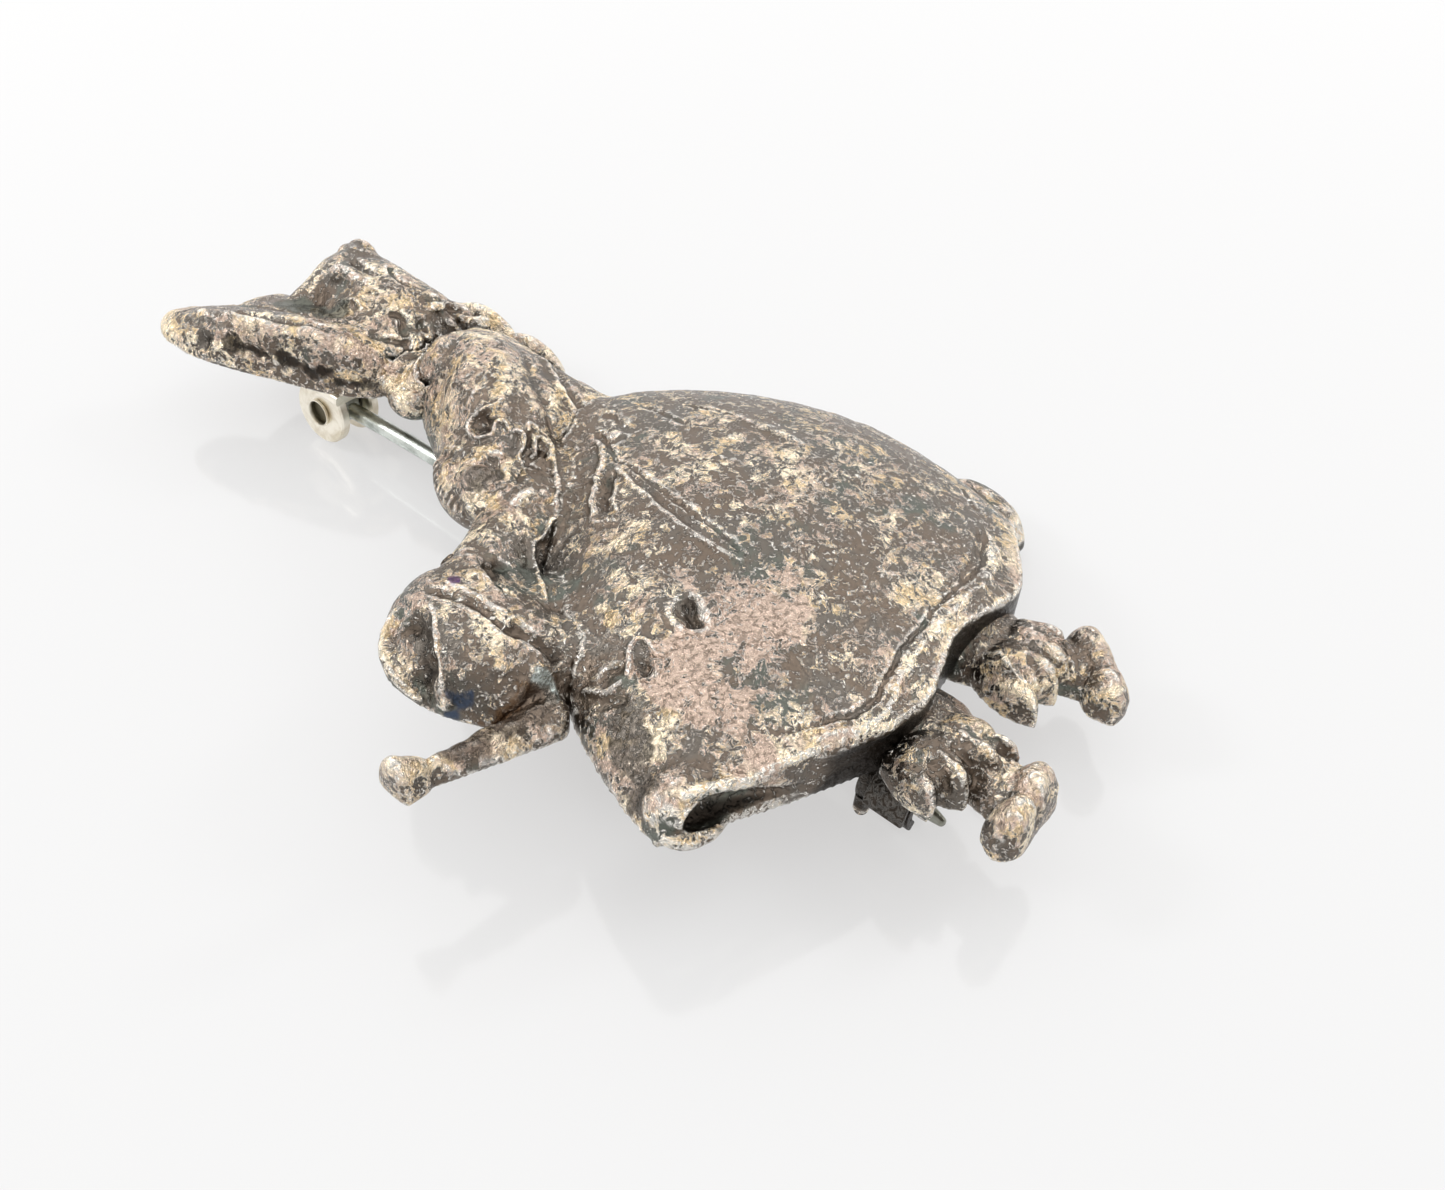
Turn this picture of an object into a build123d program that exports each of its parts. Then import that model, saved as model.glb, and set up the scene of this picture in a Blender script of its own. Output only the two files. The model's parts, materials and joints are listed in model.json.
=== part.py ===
from build123d import *
import os
from collections import namedtuple
from math import cos, radians, sin, sqrt

os.makedirs("parts", exist_ok=True)

# A cast figural brooch: a woman in a sunbonnet, seen from the side, with a watering can.
# The casting is drawn flat, edge plane at zero, relief upwards, findings below,
# and is laid down on its hinge, catch and bow at the very end. Millimetres throughout.
# X runs across the figure from the can to her back, Y from her boots to her bonnet.

# Casting
wall = 1.2
skirt_length = 26.0
skirt_width = 31.0
skirt_depth = 5.4
bodice_length = 10.5
bodice_width = 6.6
bodice_depth = 3.4
bonnet_length = 13.4
crown_width = 9.4
crown_depth = 4.0
brim_width = 4.2
brim_depth = 3.3
sleeve_length = 13.0
sleeve_width = 6.6
sleeve_depth = 5.2
forearm_length = 8.2
forearm_width = 4.2
forearm_depth = 3.8
can_length = 10.4
can_width = 7.8
can_depth = 4.0
spout_length = 7.6
spout_width = 2.3
spout_depth = 2.1
rose_length = 2.3
rose_width = 2.4
rose_depth = 2.2
leg_length = 5.0
leg_width = 6.0
leg_depth = 2.6
boot_length = 5.7
boot_width = 2.5
boot_depth = 2.1
ankle_length = 3.0
ankle_width = 3.6
bow_length = 5.6
bow_width = 3.4
bow_drop = 1.9
loop_length = 4.2
loop_width = 2.0
loop_depth = 3.3
tail_length = 4.2
tail_width = 1.6
tail_depth = 1.8
lobe_length = 2.1
lobe_width = 1.6
lobe_depth = 2.2
lobe_spread = 30
lobe_count = 4
mouth_length = 5.4
mouth_width = 2.6
mouth_depth = 1.3

# How far each form starts from the waist towards the can
bodice_shift = 1.5
crown_shift = 3.0
brim_shift = 10.2
shoulder_shift = 1.2
elbow_shift = 6.8
can_shift = 16.8
spout_shift = 16.3

# Cross section of a form: shares of its height and width where its shoulders lie,
# and how far the side arcs swell
shoulder_rise = 0.70
shoulder_width = 0.14
swell_side = 0.28
swell_rise = 0.62

# Cut and raised lines of the relief
groove_width = 0.45
groove_depth = 0.35
tear_width = 1.1
tear_depth = 0.7
flute_radius = 0.6
flute_height = 1.1
flute_reach = 0.1

# Pin joint
hinge_inset = 4.0
hinge_fall = 9.9
ear_radius = 1.9
ear_neck = 1.5 * ear_radius
ear_thickness = 0.6
ear_gap = 1.5
hinge_height = 2.3
hinge_plate = 0.6
hinge_plate_length = 2.2 * ear_radius
hinge_plate_width = ear_gap + 2 * ear_thickness + 2 * hinge_plate
solder_bite = 0.3
rivet_radius = 0.45
rivet_head = 0.8
rivet_head_thickness = 0.25
fit = 0.03

# Pin
pin_radius = 0.45
pin_eye_radius = 1.15
pin_eye_clearance = 0.1
pin_overhang = 1.2
pin_tip_radius = 0.3 * pin_radius
pin_bow = 0.8

# Catch
catch_inset = 0.84
catch_rise = 0.7
catch_height = 3.0
catch_radius = 1.85
catch_sheet = 0.45
catch_length = 2.3
catch_block = catch_height - 0.9 * catch_radius
mouth_clearance = 0.22
latch_clearance = 0.06
latch_bore = 0.75
latch_reach = 0.8
lever_width = 0.75
lever_drop = 1.45

Form = namedtuple("Form", "x y heading length width depth")
Section = namedtuple("Section", "along left right foot crest")

# Where each form starts, which way it runs (degrees from straight down, towards the can),
# and its length, width and depth. The waist is the zero of X and Y.
crown_length = 0.83 * bonnet_length
brim_length = 1.07 * bonnet_length
crown_top = bodice_length + crown_length
brim_top = bodice_length + bonnet_length
shoulder_top = 0.87 * bodice_length
elbow_top = -0.095 * skirt_length
can_top = -0.125 * skirt_length
spout_top = can_top - 0.95 * can_length
skirt = Form(0, 0, 0, skirt_length, skirt_width, skirt_depth)
bodice = Form(-bodice_shift, bodice_length, 0, bodice_length + wall, bodice_width, bodice_depth)
crown = Form(-crown_shift, crown_top, 0, crown_length, crown_width, crown_depth)
brim = Form(-brim_shift, brim_top, -20, brim_length, brim_width, brim_depth)
sleeve = Form(-shoulder_shift, shoulder_top, 33, sleeve_length, sleeve_width, sleeve_depth)
forearm = Form(-elbow_shift, elbow_top, 72, forearm_length, forearm_width, forearm_depth)
can = Form(-can_shift, can_top, 0, can_length, can_width, can_depth)
spout = Form(-spout_shift, spout_top, 101, spout_length, spout_width, spout_depth)


def reach(form, along, across=0.0):
    """Return the plan point of a form at a share of its length and of its width."""
    turn = radians(form.heading)
    step = along * form.length
    side = across * form.width
    return (form.x - step * sin(turn) + side * cos(turn), form.y - step * cos(turn) - side * sin(turn))


def place(carrier, along, across, heading, length, width, depth):
    """Return a form that starts at a point of the form that carries it."""
    x, y = reach(carrier, along, across)
    return Form(x, y, heading, length, width, depth)


rose = place(spout, 0.93, 0.0, 106, rose_length, rose_width, rose_depth)
left_leg = place(skirt, 0.945, -0.18, 0, leg_length, leg_width, leg_depth)
right_leg = place(skirt, 0.870, 0.04, -12, leg_length, leg_width, leg_depth)
left_ankle = place(left_leg, 0.85, 0.02, 10, ankle_length, ankle_width, leg_depth)
right_ankle = place(right_leg, 0.85, 0.10, -20, ankle_length, ankle_width, leg_depth)
left_boot = place(left_ankle, 0.87, 0.68, 80, boot_length, boot_width, boot_depth)
right_boot = place(right_ankle, 0.60, 0.70, 38, boot_length, boot_width, boot_depth)
bow = place(skirt, 0.575, 0.370, 6, bow_length, bow_width, bow_drop)
mouth = place(can, 0.20, -0.22, 8, mouth_length, mouth_width, can_depth)
lobes = [
    place(
        leg,
        0.70,
        0.64 * step / (lobe_count - 1) - 0.32,
        lobe_spread * (0.5 - step / (lobe_count - 1)),
        lobe_length,
        lobe_width,
        lobe_depth,
    )
    for leg in (left_leg, right_leg)
    for step in range(lobe_count)
]
loop = place(crown, 0.05, 0.36, 4, loop_length, loop_width, loop_depth)
small_loop = place(crown, 0.12, 0.16, -4, 0.75 * loop_length, loop_width, loop_depth)
upper_tail = place(crown, 0.70, 0.48, -18, tail_length, tail_width, tail_depth)
lower_tail = place(bodice, 0.10, 0.50, -8, 0.8 * tail_length, tail_width, tail_depth)

skirt_sections = [
    Section(0.000, -0.130, 0.075, 0, 0.56),
    Section(0.115, -0.245, 0.207, 0, 0.72),
    Section(0.250, -0.355, 0.293, 0, 0.86),
    Section(0.440, -0.485, 0.348, 0, 1.00),
    Section(0.635, -0.578, 0.352, 0, 0.98),
    Section(0.790, -0.622, 0.336, 0, 0.85),
    Section(1.060, -0.645, 0.275, 0, 0.48),
]
bodice_sections = [
    Section(0.00, -0.50, 0.42, 0, 0.76),
    Section(0.38, -0.46, 0.50, 0, 1.00),
    Section(0.72, -0.46, 0.48, 0, 0.94),
    Section(1.00, -0.35, 0.60, 0, 0.85),
]
crown_sections = [
    Section(0.00, 0.00, 0.46, 0, 0.30),
    Section(0.12, -0.30, 0.50, 0, 0.58),
    Section(0.42, -0.46, 0.50, 0, 0.95),
    Section(0.70, -0.42, 0.48, 0, 1.00),
    Section(0.90, -0.32, 0.49, 0, 0.78),
    Section(1.00, -0.22, 0.42, 0, 0.50),
]
brim_sections = [
    Section(0.00, -0.26, 0.10, 0, 0.22),
    Section(0.12, -0.50, 0.30, 0, 0.42),
    Section(0.32, -0.60, 0.36, 0, 0.72),
    Section(0.60, -0.54, 0.38, 0, 1.00),
    Section(0.88, -0.40, 0.32, 0, 0.90),
    Section(1.00, -0.24, 0.22, 0, 0.50),
]
sleeve_sections = [
    Section(0.00, -0.24, 0.26, 0, 0.50),
    Section(0.20, -0.42, 0.46, 0, 0.88),
    Section(0.50, -0.46, 0.54, 0, 1.00),
    Section(0.80, -0.38, 0.50, 0, 0.88),
    Section(1.00, -0.24, 0.38, 0, 0.65),
]
forearm_sections = [
    Section(0.0, -0.48, 0.48, 0, 0.95),
    Section(0.5, -0.46, 0.66, 0, 1.00),
    Section(1.0, -0.42, 0.66, 0, 0.85),
]
can_sections = [
    Section(0.00, -0.16, 0.24, 0, 0.45),
    Section(0.15, -0.40, 0.44, 0, 0.80),
    Section(0.40, -0.55, 0.48, 0, 1.00),
    Section(0.64, -0.50, 0.46, 0, 0.95),
    Section(0.85, -0.36, 0.36, 0, 0.75),
    Section(1.00, -0.20, 0.20, 0, 0.40),
]
spout_sections = [
    Section(0.0, -0.50, 0.50, 0, 1.00),
    Section(0.5, -0.38, 0.38, 0, 0.80),
    Section(1.0, -0.26, 0.26, 0, 0.62),
]
rose_sections = [
    Section(0.0, -0.24, 0.24, 0, 0.50),
    Section(0.6, -0.36, 0.36, 0, 0.75),
    Section(1.0, -0.50, 0.50, 0, 1.00),
]
leg_sections = [
    Section(0.0, -0.48, 0.48, -0.1, 0.80),
    Section(0.5, -0.50, 0.50, -0.1, 1.00),
    Section(1.0, -0.46, 0.46, -0.1, 0.90),
]
ankle_sections = [
    Section(0.0, -0.50, 0.50, -0.1, 0.80),
    Section(1.0, -0.45, 0.45, -0.1, 0.75),
]
boot_sections = [
    Section(0.00, -0.30, 0.34, -0.1, 0.70),
    Section(0.20, -0.48, 0.46, -0.1, 1.00),
    Section(0.60, -0.40, 0.42, -0.1, 0.95),
    Section(0.85, -0.42, 0.46, -0.1, 0.85),
    Section(1.00, -0.26, 0.30, -0.1, 0.50),
]
bow_sections = [
    Section(0.00, -0.30, 0.30, -0.35, 0.15),
    Section(0.30, -0.50, 0.50, -0.75, 0.45),
    Section(0.70, -0.50, 0.50, -1.00, 0.45),
    Section(1.00, -0.30, 0.30, -0.60, 0.15),
]
lump_sections = [
    Section(0.0, -0.32, 0.32, 0, 0.70),
    Section(0.5, -0.50, 0.50, 0, 1.00),
    Section(1.0, -0.30, 0.30, 0, 0.60),
]

# Plan of the hem, from the can side to the bow side, as shares of the skirt's width and length
hem_points = [
    (-0.640, 0.845),
    (-0.560, 0.880),
    (-0.420, 0.945),
    (-0.225, 1.015),
    (-0.130, 0.985),
    (-0.040, 0.950),
    (0.120, 0.955),
    (0.220, 0.880),
    (0.320, 0.780),
    (0.400, 0.650),
]

# Folds and hem lines cut in the skirt, in plan, in the same shares
folds = [
    [(-0.11, 0.15), (-0.17, 0.39), (-0.20, 0.59)],
    [(-0.17, 0.22), (-0.22, 0.26), (-0.27, 0.30)],
    [(0.05, 0.08), (0.07, 0.12), (0.08, 0.17)],
    [(0.12, 0.10), (0.17, 0.20), (0.19, 0.30)],
    [(-0.45, 0.87), (-0.31, 0.96), (-0.20, 0.93), (-0.12, 0.89), (0.08, 0.87), (0.22, 0.80)],
    [(-0.28, 0.93), (-0.18, 0.87), (-0.04, 0.81), (0.09, 0.81), (0.20, 0.74), (0.28, 0.62)],
]

# Torn dents of the skirt
tears = [
    [(-0.41, 0.57), (-0.42, 0.60), (-0.44, 0.62)],
    [(-0.31, 0.57), (-0.33, 0.60), (-0.36, 0.62)],
]

# Findings, on the back of the brim and behind the left leg
hinge_x = brim.x + hinge_inset
hinge_y = brim.y - hinge_fall
catch_x = left_leg.x - catch_inset
catch_y = left_leg.y - catch_rise
latch_radius = catch_radius - catch_sheet - latch_clearance
rivet_reach = ear_gap / 2 + ear_thickness + fit
catch_plane = Plane(origin=(catch_x, catch_y, -catch_height), x_dir=(1, 0, 0), z_dir=(0, -1, 0))
hinge_point = Vector(hinge_x, hinge_y, -hinge_height)
catch_point = Vector(catch_x, catch_y - catch_length, -catch_height)
pin_middle = (hinge_point + catch_point) / 2 + Vector(pin_bow / 2, 0, pin_bow)

# Slot in the catch and in its latch, through which the pin leaves
slot_width = 2 * (pin_radius + mouth_clearance)
with BuildSketch() as catch_slot:
    with Locations((0, -catch_radius)):
        Rectangle(slot_width, 2 * catch_radius)


def station(form, along):
    """Return the upright plane across a form at a share of its length."""
    turn = radians(form.heading)
    x, y = reach(form, along)
    return Plane(origin=(x, y, 0), x_dir=(cos(turn), -sin(turn), 0), z_dir=(-sin(turn), -cos(turn), 0))


def dome(form, sections, inset=0.0):
    """Loft a form through its cross sections, each a foot line, two shoulder arcs and a crown arc."""
    with BuildPart() as body:
        for row in sections:
            left = row.left * form.width + inset
            right = row.right * form.width - inset
            foot = row.foot * form.depth - inset
            crest = row.crest * form.depth - inset
            shoulder = foot + shoulder_rise * (crest - foot)
            step = shoulder_width * (right - left)
            swell = swell_side * step
            half_way = foot + swell_rise * (shoulder - foot)
            top = ((left + right) / 2, crest)
            with BuildSketch(station(form, row.along)):
                with BuildLine():
                    Line((right, foot), (left, foot))
                    ThreePointArc((left, foot), (left + swell, half_way), (left + step, shoulder))
                    ThreePointArc((left + step, shoulder), top, (right - step, shoulder))
                    ThreePointArc((right - step, shoulder), (right - swell, half_way), (right, foot))
                make_face()
        loft()
    return body.part


def hem_line(shift=0.0):
    """Return the points of the hem in plan, moved up the skirt by a length."""
    return [(x * skirt_width, -y * skirt_length + shift) for x, y in hem_points]


def below_hem(shift=0.0):
    """Return the block of space beyond the hem, to trim the skirt with."""
    line = hem_line(shift)
    start_x, start_y = line[0]
    bottom = -1.3 * skirt_length
    corners = [(line[-1][0], bottom), (start_x - wall, bottom), (start_x - wall, start_y)]
    with BuildPart() as block:
        with BuildSketch(Plane.XY.offset(-2 * wall)):
            with BuildLine():
                Spline(line)
                Polyline(line[-1], *corners, line[0])
            make_face()
        extrude(amount=2 * skirt_depth + 2 * wall)
    return block.part


def hollow(form, sections):
    """Loft the space inside a form, a wall's thickness in from its sides, top and ends."""
    start = reach(form, wall / form.length)
    inner = Form(start[0], start[1], form.heading, form.length - 2 * wall, form.width, form.depth)
    return dome(inner, sections, wall)


def engraved(lines, width, depth):
    """Return the cut that a graver makes along plan lines of the skirt, at an even depth."""
    with BuildPart() as cut:
        with BuildSketch():
            for points in lines:
                with BuildLine():
                    Spline([(x * skirt_width, -y * skirt_length) for x, y in points])
                trace(line_width=width)
        extrude(amount=2 * skirt_depth)
        add(bell.moved(Location((0, 0, -depth))), mode=Mode.SUBTRACT)
    return cut.part


# Skirt: a bell shell, trimmed to the hem, with an open flute under the turned lip of the hem
bell = dome(skirt, skirt_sections)

with BuildPart() as skirt_shell:
    add(bell)
    add(below_hem(), mode=Mode.SUBTRACT)
    with BuildLine(Plane.XY.offset(flute_height)) as flute_line:
        Spline(hem_line(-flute_reach)[:-1])
    with BuildSketch(Plane(flute_line.line @ 0, z_dir=flute_line.line % 0)):
        Circle(flute_radius)
    sweep(path=flute_line.line, mode=Mode.SUBTRACT)
    add(engraved(folds, groove_width, groove_depth), mode=Mode.SUBTRACT)
    add(engraved(tears, tear_width, tear_depth), mode=Mode.SUBTRACT)

with BuildPart() as skirt_hollow:
    add(dome(skirt, skirt_sections, wall))
    add(below_hem(wall + flute_radius), mode=Mode.SUBTRACT)

# Whole casting
with BuildPart() as figure:
    add(dome(crown, crown_sections))
    add(dome(bodice, bodice_sections))
    add(dome(sleeve, sleeve_sections))
    add(skirt_shell.part)
    add(hollow(crown, crown_sections), mode=Mode.SUBTRACT)
    add(hollow(bodice, bodice_sections), mode=Mode.SUBTRACT)
    add(hollow(sleeve, sleeve_sections), mode=Mode.SUBTRACT)
    add(skirt_hollow.part, mode=Mode.SUBTRACT)
    add(dome(brim, brim_sections))
    add(dome(forearm, forearm_sections))
    add(dome(can, can_sections))
    pocket = dome(mouth, lump_sections).moved(Location((0, 0, can_depth - mouth_depth)))
    add(pocket, mode=Mode.SUBTRACT)
    add(dome(spout, spout_sections))
    add(dome(rose, rose_sections))
    for leg in (left_leg, right_leg):
        add(dome(leg, leg_sections))
    for ankle in (left_ankle, right_ankle):
        add(dome(ankle, ankle_sections))
    for boot in (left_boot, right_boot):
        add(dome(boot, boot_sections))
    add(dome(bow, bow_sections))
    for lump in (loop, small_loop, upper_tail, lower_tail, *lobes):
        add(dome(lump, lump_sections))
    # Soldered pin joint: a strip on the back with two upright round ears
    with BuildSketch(Plane.XY.offset(-hinge_plate)):
        with Locations((hinge_x, hinge_y)):
            Rectangle(hinge_plate_width, hinge_plate_length)
    extrude(amount=hinge_plate + solder_bite)
    for side in (-1, 1):
        inner_face = hinge_x + side * ear_gap / 2
        with BuildSketch(Plane.YZ.offset(inner_face)):
            with Locations((hinge_y, -hinge_height)):
                Circle(ear_radius)
            with Locations((hinge_y, -hinge_height / 2)):
                Rectangle(ear_neck, hinge_height)
        extrude(amount=side * ear_thickness)
    with BuildSketch(Plane.YZ.offset(hinge_x - ear_gap / 2 - ear_thickness)):
        with Locations((hinge_y, -hinge_height)):
            Circle(rivet_radius + fit)
    extrude(amount=ear_gap + 2 * ear_thickness, mode=Mode.SUBTRACT)
    # Soldered catch: a rolled sheet open away from the back, on a block
    with BuildSketch(Plane.XY.offset(-catch_block)):
        with Locations((catch_x, catch_y - catch_length / 2)):
            Rectangle(catch_radius, catch_length)
    extrude(amount=catch_block + solder_bite)
    with BuildSketch(catch_plane):
        Circle(catch_radius)
        Circle(catch_radius - catch_sheet, mode=Mode.SUBTRACT)
        add(catch_slot.sketch, mode=Mode.SUBTRACT)
    extrude(amount=catch_length)
    with BuildSketch(catch_plane):
        Circle(catch_radius - catch_sheet)
    extrude(amount=catch_length, mode=Mode.SUBTRACT)
figure.part.label = "figure"

# Rivet of the pin joint, with a low head on each side
with BuildPart() as joint_rivet:
    with BuildSketch(Plane.YZ.offset(hinge_x - rivet_reach)):
        with Locations((hinge_y, -hinge_height)):
            Circle(rivet_radius)
    extrude(amount=2 * rivet_reach)
    for side in (-1, 1):
        with BuildSketch(Plane.YZ.offset(hinge_x + side * rivet_reach)):
            with Locations((hinge_y, -hinge_height)):
                Circle(rivet_head)
        extrude(amount=side * rivet_head_thickness)
joint_rivet.part.label = "joint_rivet"

# Pin: an eye round the rivet and a sprung stem, a little bowed, with a point past the catch
with BuildPart() as pin_stem:
    with BuildLine() as pin_line:
        ThreePointArc(hinge_point, pin_middle, catch_point)
    with BuildSketch(Plane(hinge_point, z_dir=pin_line.line % 0)):
        Circle(pin_radius)
    sweep(path=pin_line.line)
    pin_end = Plane(catch_point, z_dir=pin_line.line % 1)
    with BuildSketch(pin_end):
        Circle(pin_radius)
    with BuildSketch(pin_end.offset(pin_overhang)):
        Circle(pin_tip_radius)
    loft()
    with BuildSketch(Plane.YZ.offset(hinge_x - ear_gap / 2 + pin_eye_clearance)):
        with Locations((hinge_y, -hinge_height)):
            Circle(pin_eye_radius)
    extrude(amount=ear_gap - 2 * pin_eye_clearance)
    with BuildSketch(Plane.YZ.offset(hinge_x - ear_gap / 2)):
        with Locations((hinge_y, -hinge_height)):
            Circle(rivet_radius + 2 * fit)
    extrude(amount=ear_gap, mode=Mode.SUBTRACT)
pin_stem.part.label = "pin_stem"

# Safety latch of the catch: a split barrel that turns inside the sheet, with a lever at its end
with BuildPart() as catch_latch:
    with BuildSketch(catch_plane.offset(-latch_reach)):
        Circle(latch_radius)
        Circle(latch_bore, mode=Mode.SUBTRACT)
        add(catch_slot.sketch, mode=Mode.SUBTRACT)
    extrude(amount=latch_reach + catch_length)
    with BuildSketch(catch_plane.offset(-latch_reach)):
        with Locations((lever_width / 2 - latch_radius, -lever_drop / 2)):
            Rectangle(lever_width, lever_drop)
        with Locations((lever_width / 2 - latch_radius, -lever_drop)):
            Circle(lever_width / 2)
    extrude(amount=latch_reach - latch_clearance)
catch_latch.part.label = "catch_latch"

# Lay the brooch down on what it rests on: an ear of the joint, the catch's lip and the bow
ear_foot = Vector(hinge_x + ear_gap / 2 + ear_thickness, hinge_y, -hinge_height - ear_radius)
catch_drop = sqrt(catch_radius**2 - (slot_width / 2) ** 2)
catch_foot = Vector(catch_x + slot_width / 2, catch_y, -catch_height - catch_drop)
bow_x, bow_y = reach(bow, 0.7, 0.5)
bow_foot = Vector(bow_x, bow_y, -bow_drop)
up = (bow_foot - catch_foot).cross(ear_foot - catch_foot).normalized()
lengthways = Vector(0, 1, 0)
table = Plane(origin=catch_foot, x_dir=lengthways.cross(up), z_dir=up)
pieces = (figure, joint_rivet, pin_stem, catch_latch)
flat = Compound([piece.part.moved(table.location.inverse()) for piece in pieces]).bounding_box()
centre = Location((-flat.center().X, -flat.center().Y, -flat.min.Z))
rest = centre * table.location.inverse()
for piece in pieces:
    laid = piece.part.moved(rest)
    laid.label = piece.part.label
    export_step(laid, f"parts/{laid.label}.step")


def at_rest(point):
    """Return where a point of the casting lies when the brooch is laid down."""
    return (rest * Pos(*point)).position


catch_middle = Vector(catch_x, catch_y, -catch_height)
waist = Vector(0, 0, 0)
places = {"hinge": hinge_point, "catch": catch_middle, "catch end": catch_point, "waist": waist}
for name, point in places.items():
    print(name, at_rest(point))
for name, axis in (("across", Vector(1, 0, 0)), ("along", lengthways), ("up", Vector(0, 0, 1))):
    print(name, at_rest(axis) - at_rest(waist))
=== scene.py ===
"""Looks of the lady brooch: the cast figure, its findings, the table it lies on and the light."""

import json
import logging
import math
from dataclasses import dataclass, field
from enum import Enum
from typing import Iterable, NamedTuple, Sequence

import bmesh
import bpy
import numpy as np
from mathutils import Matrix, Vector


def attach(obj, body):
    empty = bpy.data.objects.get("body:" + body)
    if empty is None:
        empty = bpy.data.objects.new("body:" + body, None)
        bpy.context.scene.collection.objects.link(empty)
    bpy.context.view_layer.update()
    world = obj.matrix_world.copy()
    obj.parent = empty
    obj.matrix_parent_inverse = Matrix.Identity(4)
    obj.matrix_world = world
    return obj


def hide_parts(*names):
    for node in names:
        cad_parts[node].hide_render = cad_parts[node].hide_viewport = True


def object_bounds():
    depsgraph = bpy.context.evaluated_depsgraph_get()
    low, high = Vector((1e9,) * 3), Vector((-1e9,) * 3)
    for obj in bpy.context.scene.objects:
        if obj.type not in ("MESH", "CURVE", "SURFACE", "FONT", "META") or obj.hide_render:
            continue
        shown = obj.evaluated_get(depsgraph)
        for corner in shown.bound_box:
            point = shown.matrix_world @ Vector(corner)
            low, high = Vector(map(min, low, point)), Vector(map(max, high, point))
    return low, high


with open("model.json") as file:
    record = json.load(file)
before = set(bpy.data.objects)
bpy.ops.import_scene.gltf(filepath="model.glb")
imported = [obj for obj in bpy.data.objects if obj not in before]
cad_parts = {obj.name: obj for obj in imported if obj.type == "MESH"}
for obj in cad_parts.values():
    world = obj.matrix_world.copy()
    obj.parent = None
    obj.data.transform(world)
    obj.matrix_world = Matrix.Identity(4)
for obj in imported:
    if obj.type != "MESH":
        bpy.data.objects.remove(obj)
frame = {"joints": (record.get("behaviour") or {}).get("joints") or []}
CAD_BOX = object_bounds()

LOG = logging.getLogger("brooch")
MM = 0.001
Colour = tuple[float, float, float]
Plan = tuple[float, float]
Socket = bpy.types.NodeSocket


# Places and shapes of the casting, in millimetres from the waist: X across from the can
# to her back, Y from her boots to her bonnet, Z up from the edge plane


class Form(NamedTuple):
    """Where a form starts, which way it runs (degrees from straight down) and its sizes."""

    x: float
    y: float
    heading: float
    length: float
    width: float
    depth: float
    base: float = 0.0


class Section(NamedTuple):
    """A cross section of a form: shares of its length, width and depth."""

    along: float
    left: float
    right: float
    foot: float
    crest: float


class Lump(NamedTuple):
    """A rounded mass: its middle, its half sizes and its turn."""

    x: float
    y: float
    z: float
    half_width: float
    half_length: float
    half_height: float
    heading: float = 0.0


class Mark(Enum):
    """How the relief rises or sinks beside a line."""

    RIDGE = "round-backed, falling off evenly on both sides"
    CHANNEL = "sunk to an even floor, with a raised rim on both sides"


def unit(vector: Sequence[float]) -> np.ndarray:
    """Return the vector at length one."""
    array = np.asarray(vector, float)
    return array / np.linalg.norm(array)


@dataclass(frozen=True)
class Casting:
    """Where the flat casting lies in the frame: its waist and its three directions."""

    waist: np.ndarray
    axes: np.ndarray

    @classmethod
    def at_rest(cls, joints: Iterable[dict], hinge: Sequence[float]) -> "Casting":
        """Work the casting's place out from the pin's hinge and the latch's axis.

        Args:
            joints: The frame's joints.
            hinge: The hinge's place on the casting.

        Returns:
            The casting's place.
        """
        named = {joint["name"]: joint for joint in joints}
        across = unit(named["pin_swing"]["axis"])
        along = unit(named["latch_turn"]["axis"])
        axes = np.array([across, along, np.cross(across, along)])
        waist = np.array(named["pin_swing"]["pos_m"]) / MM - np.asarray(hinge) @ axes
        return cls(waist, axes)

    def lay(self, points: np.ndarray) -> np.ndarray:
        """Return points of the casting where they lie in the frame, in metres."""
        return (self.waist + points @ self.axes) * MM


# Randomness, lines and relief


def grain(points: np.ndarray, size: float, seed: int) -> np.ndarray:
    """Give each point a smooth random value from 0 to 1.

    Each corner of a lattice of cubes holds a random number, and the value eases between the
    eight corners round the point.

    Args:
        points: Points, in millimetres.
        size: The cubes' side.
        seed: Which randomness.

    Returns:
        One value a point.
    """
    cell = points / size
    low = np.floor(cell).astype(np.int64)
    part = cell - low
    ease = part * part * (3 - 2 * part)
    total = np.zeros(len(points))
    for corner in np.ndindex(2, 2, 2):
        at = (low + corner) & 0xFFFF
        code = (at[:, 0] * 73856093) ^ (at[:, 1] * 19349663) ^ (at[:, 2] * 83492791) ^ (seed * 9176231)
        code = ((code & 0xFFFFFFF) * 40503 + 12345) & 0xFFFFFFFFFFF
        value = ((code ^ (code >> 15)) * 2654435 >> 7) & 0xFFFF
        weight = np.prod(np.where(np.array(corner, bool), ease, 1 - ease), axis=1)
        total += weight * value / 0xFFFF
    return total


def layered(points: np.ndarray, size: float, seed: int, layers: int = 3) -> np.ndarray:
    """Add finer and fainter layers of grain, each half the size and height of the last.

    Args:
        points: Points, in millimetres.
        size: The coarsest layer's size.
        seed: Which randomness.
        layers: How many layers.

    Returns:
        One value a point, about 0, from -1 to 1.
    """
    total = np.zeros(len(points))
    for layer in range(layers):
        total += (2 * grain(points, size / 2**layer, seed + 17 * layer) - 1) / 2**layer
    return total / (2 - 2 ** (1 - layers))


def eased(value: np.ndarray, low: float, high: float) -> np.ndarray:
    """Return 0 below low, 1 above high and a smooth rise between."""
    share = np.clip((value - low) / (high - low), 0, 1)
    return share * share * (3 - 2 * share)


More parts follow.
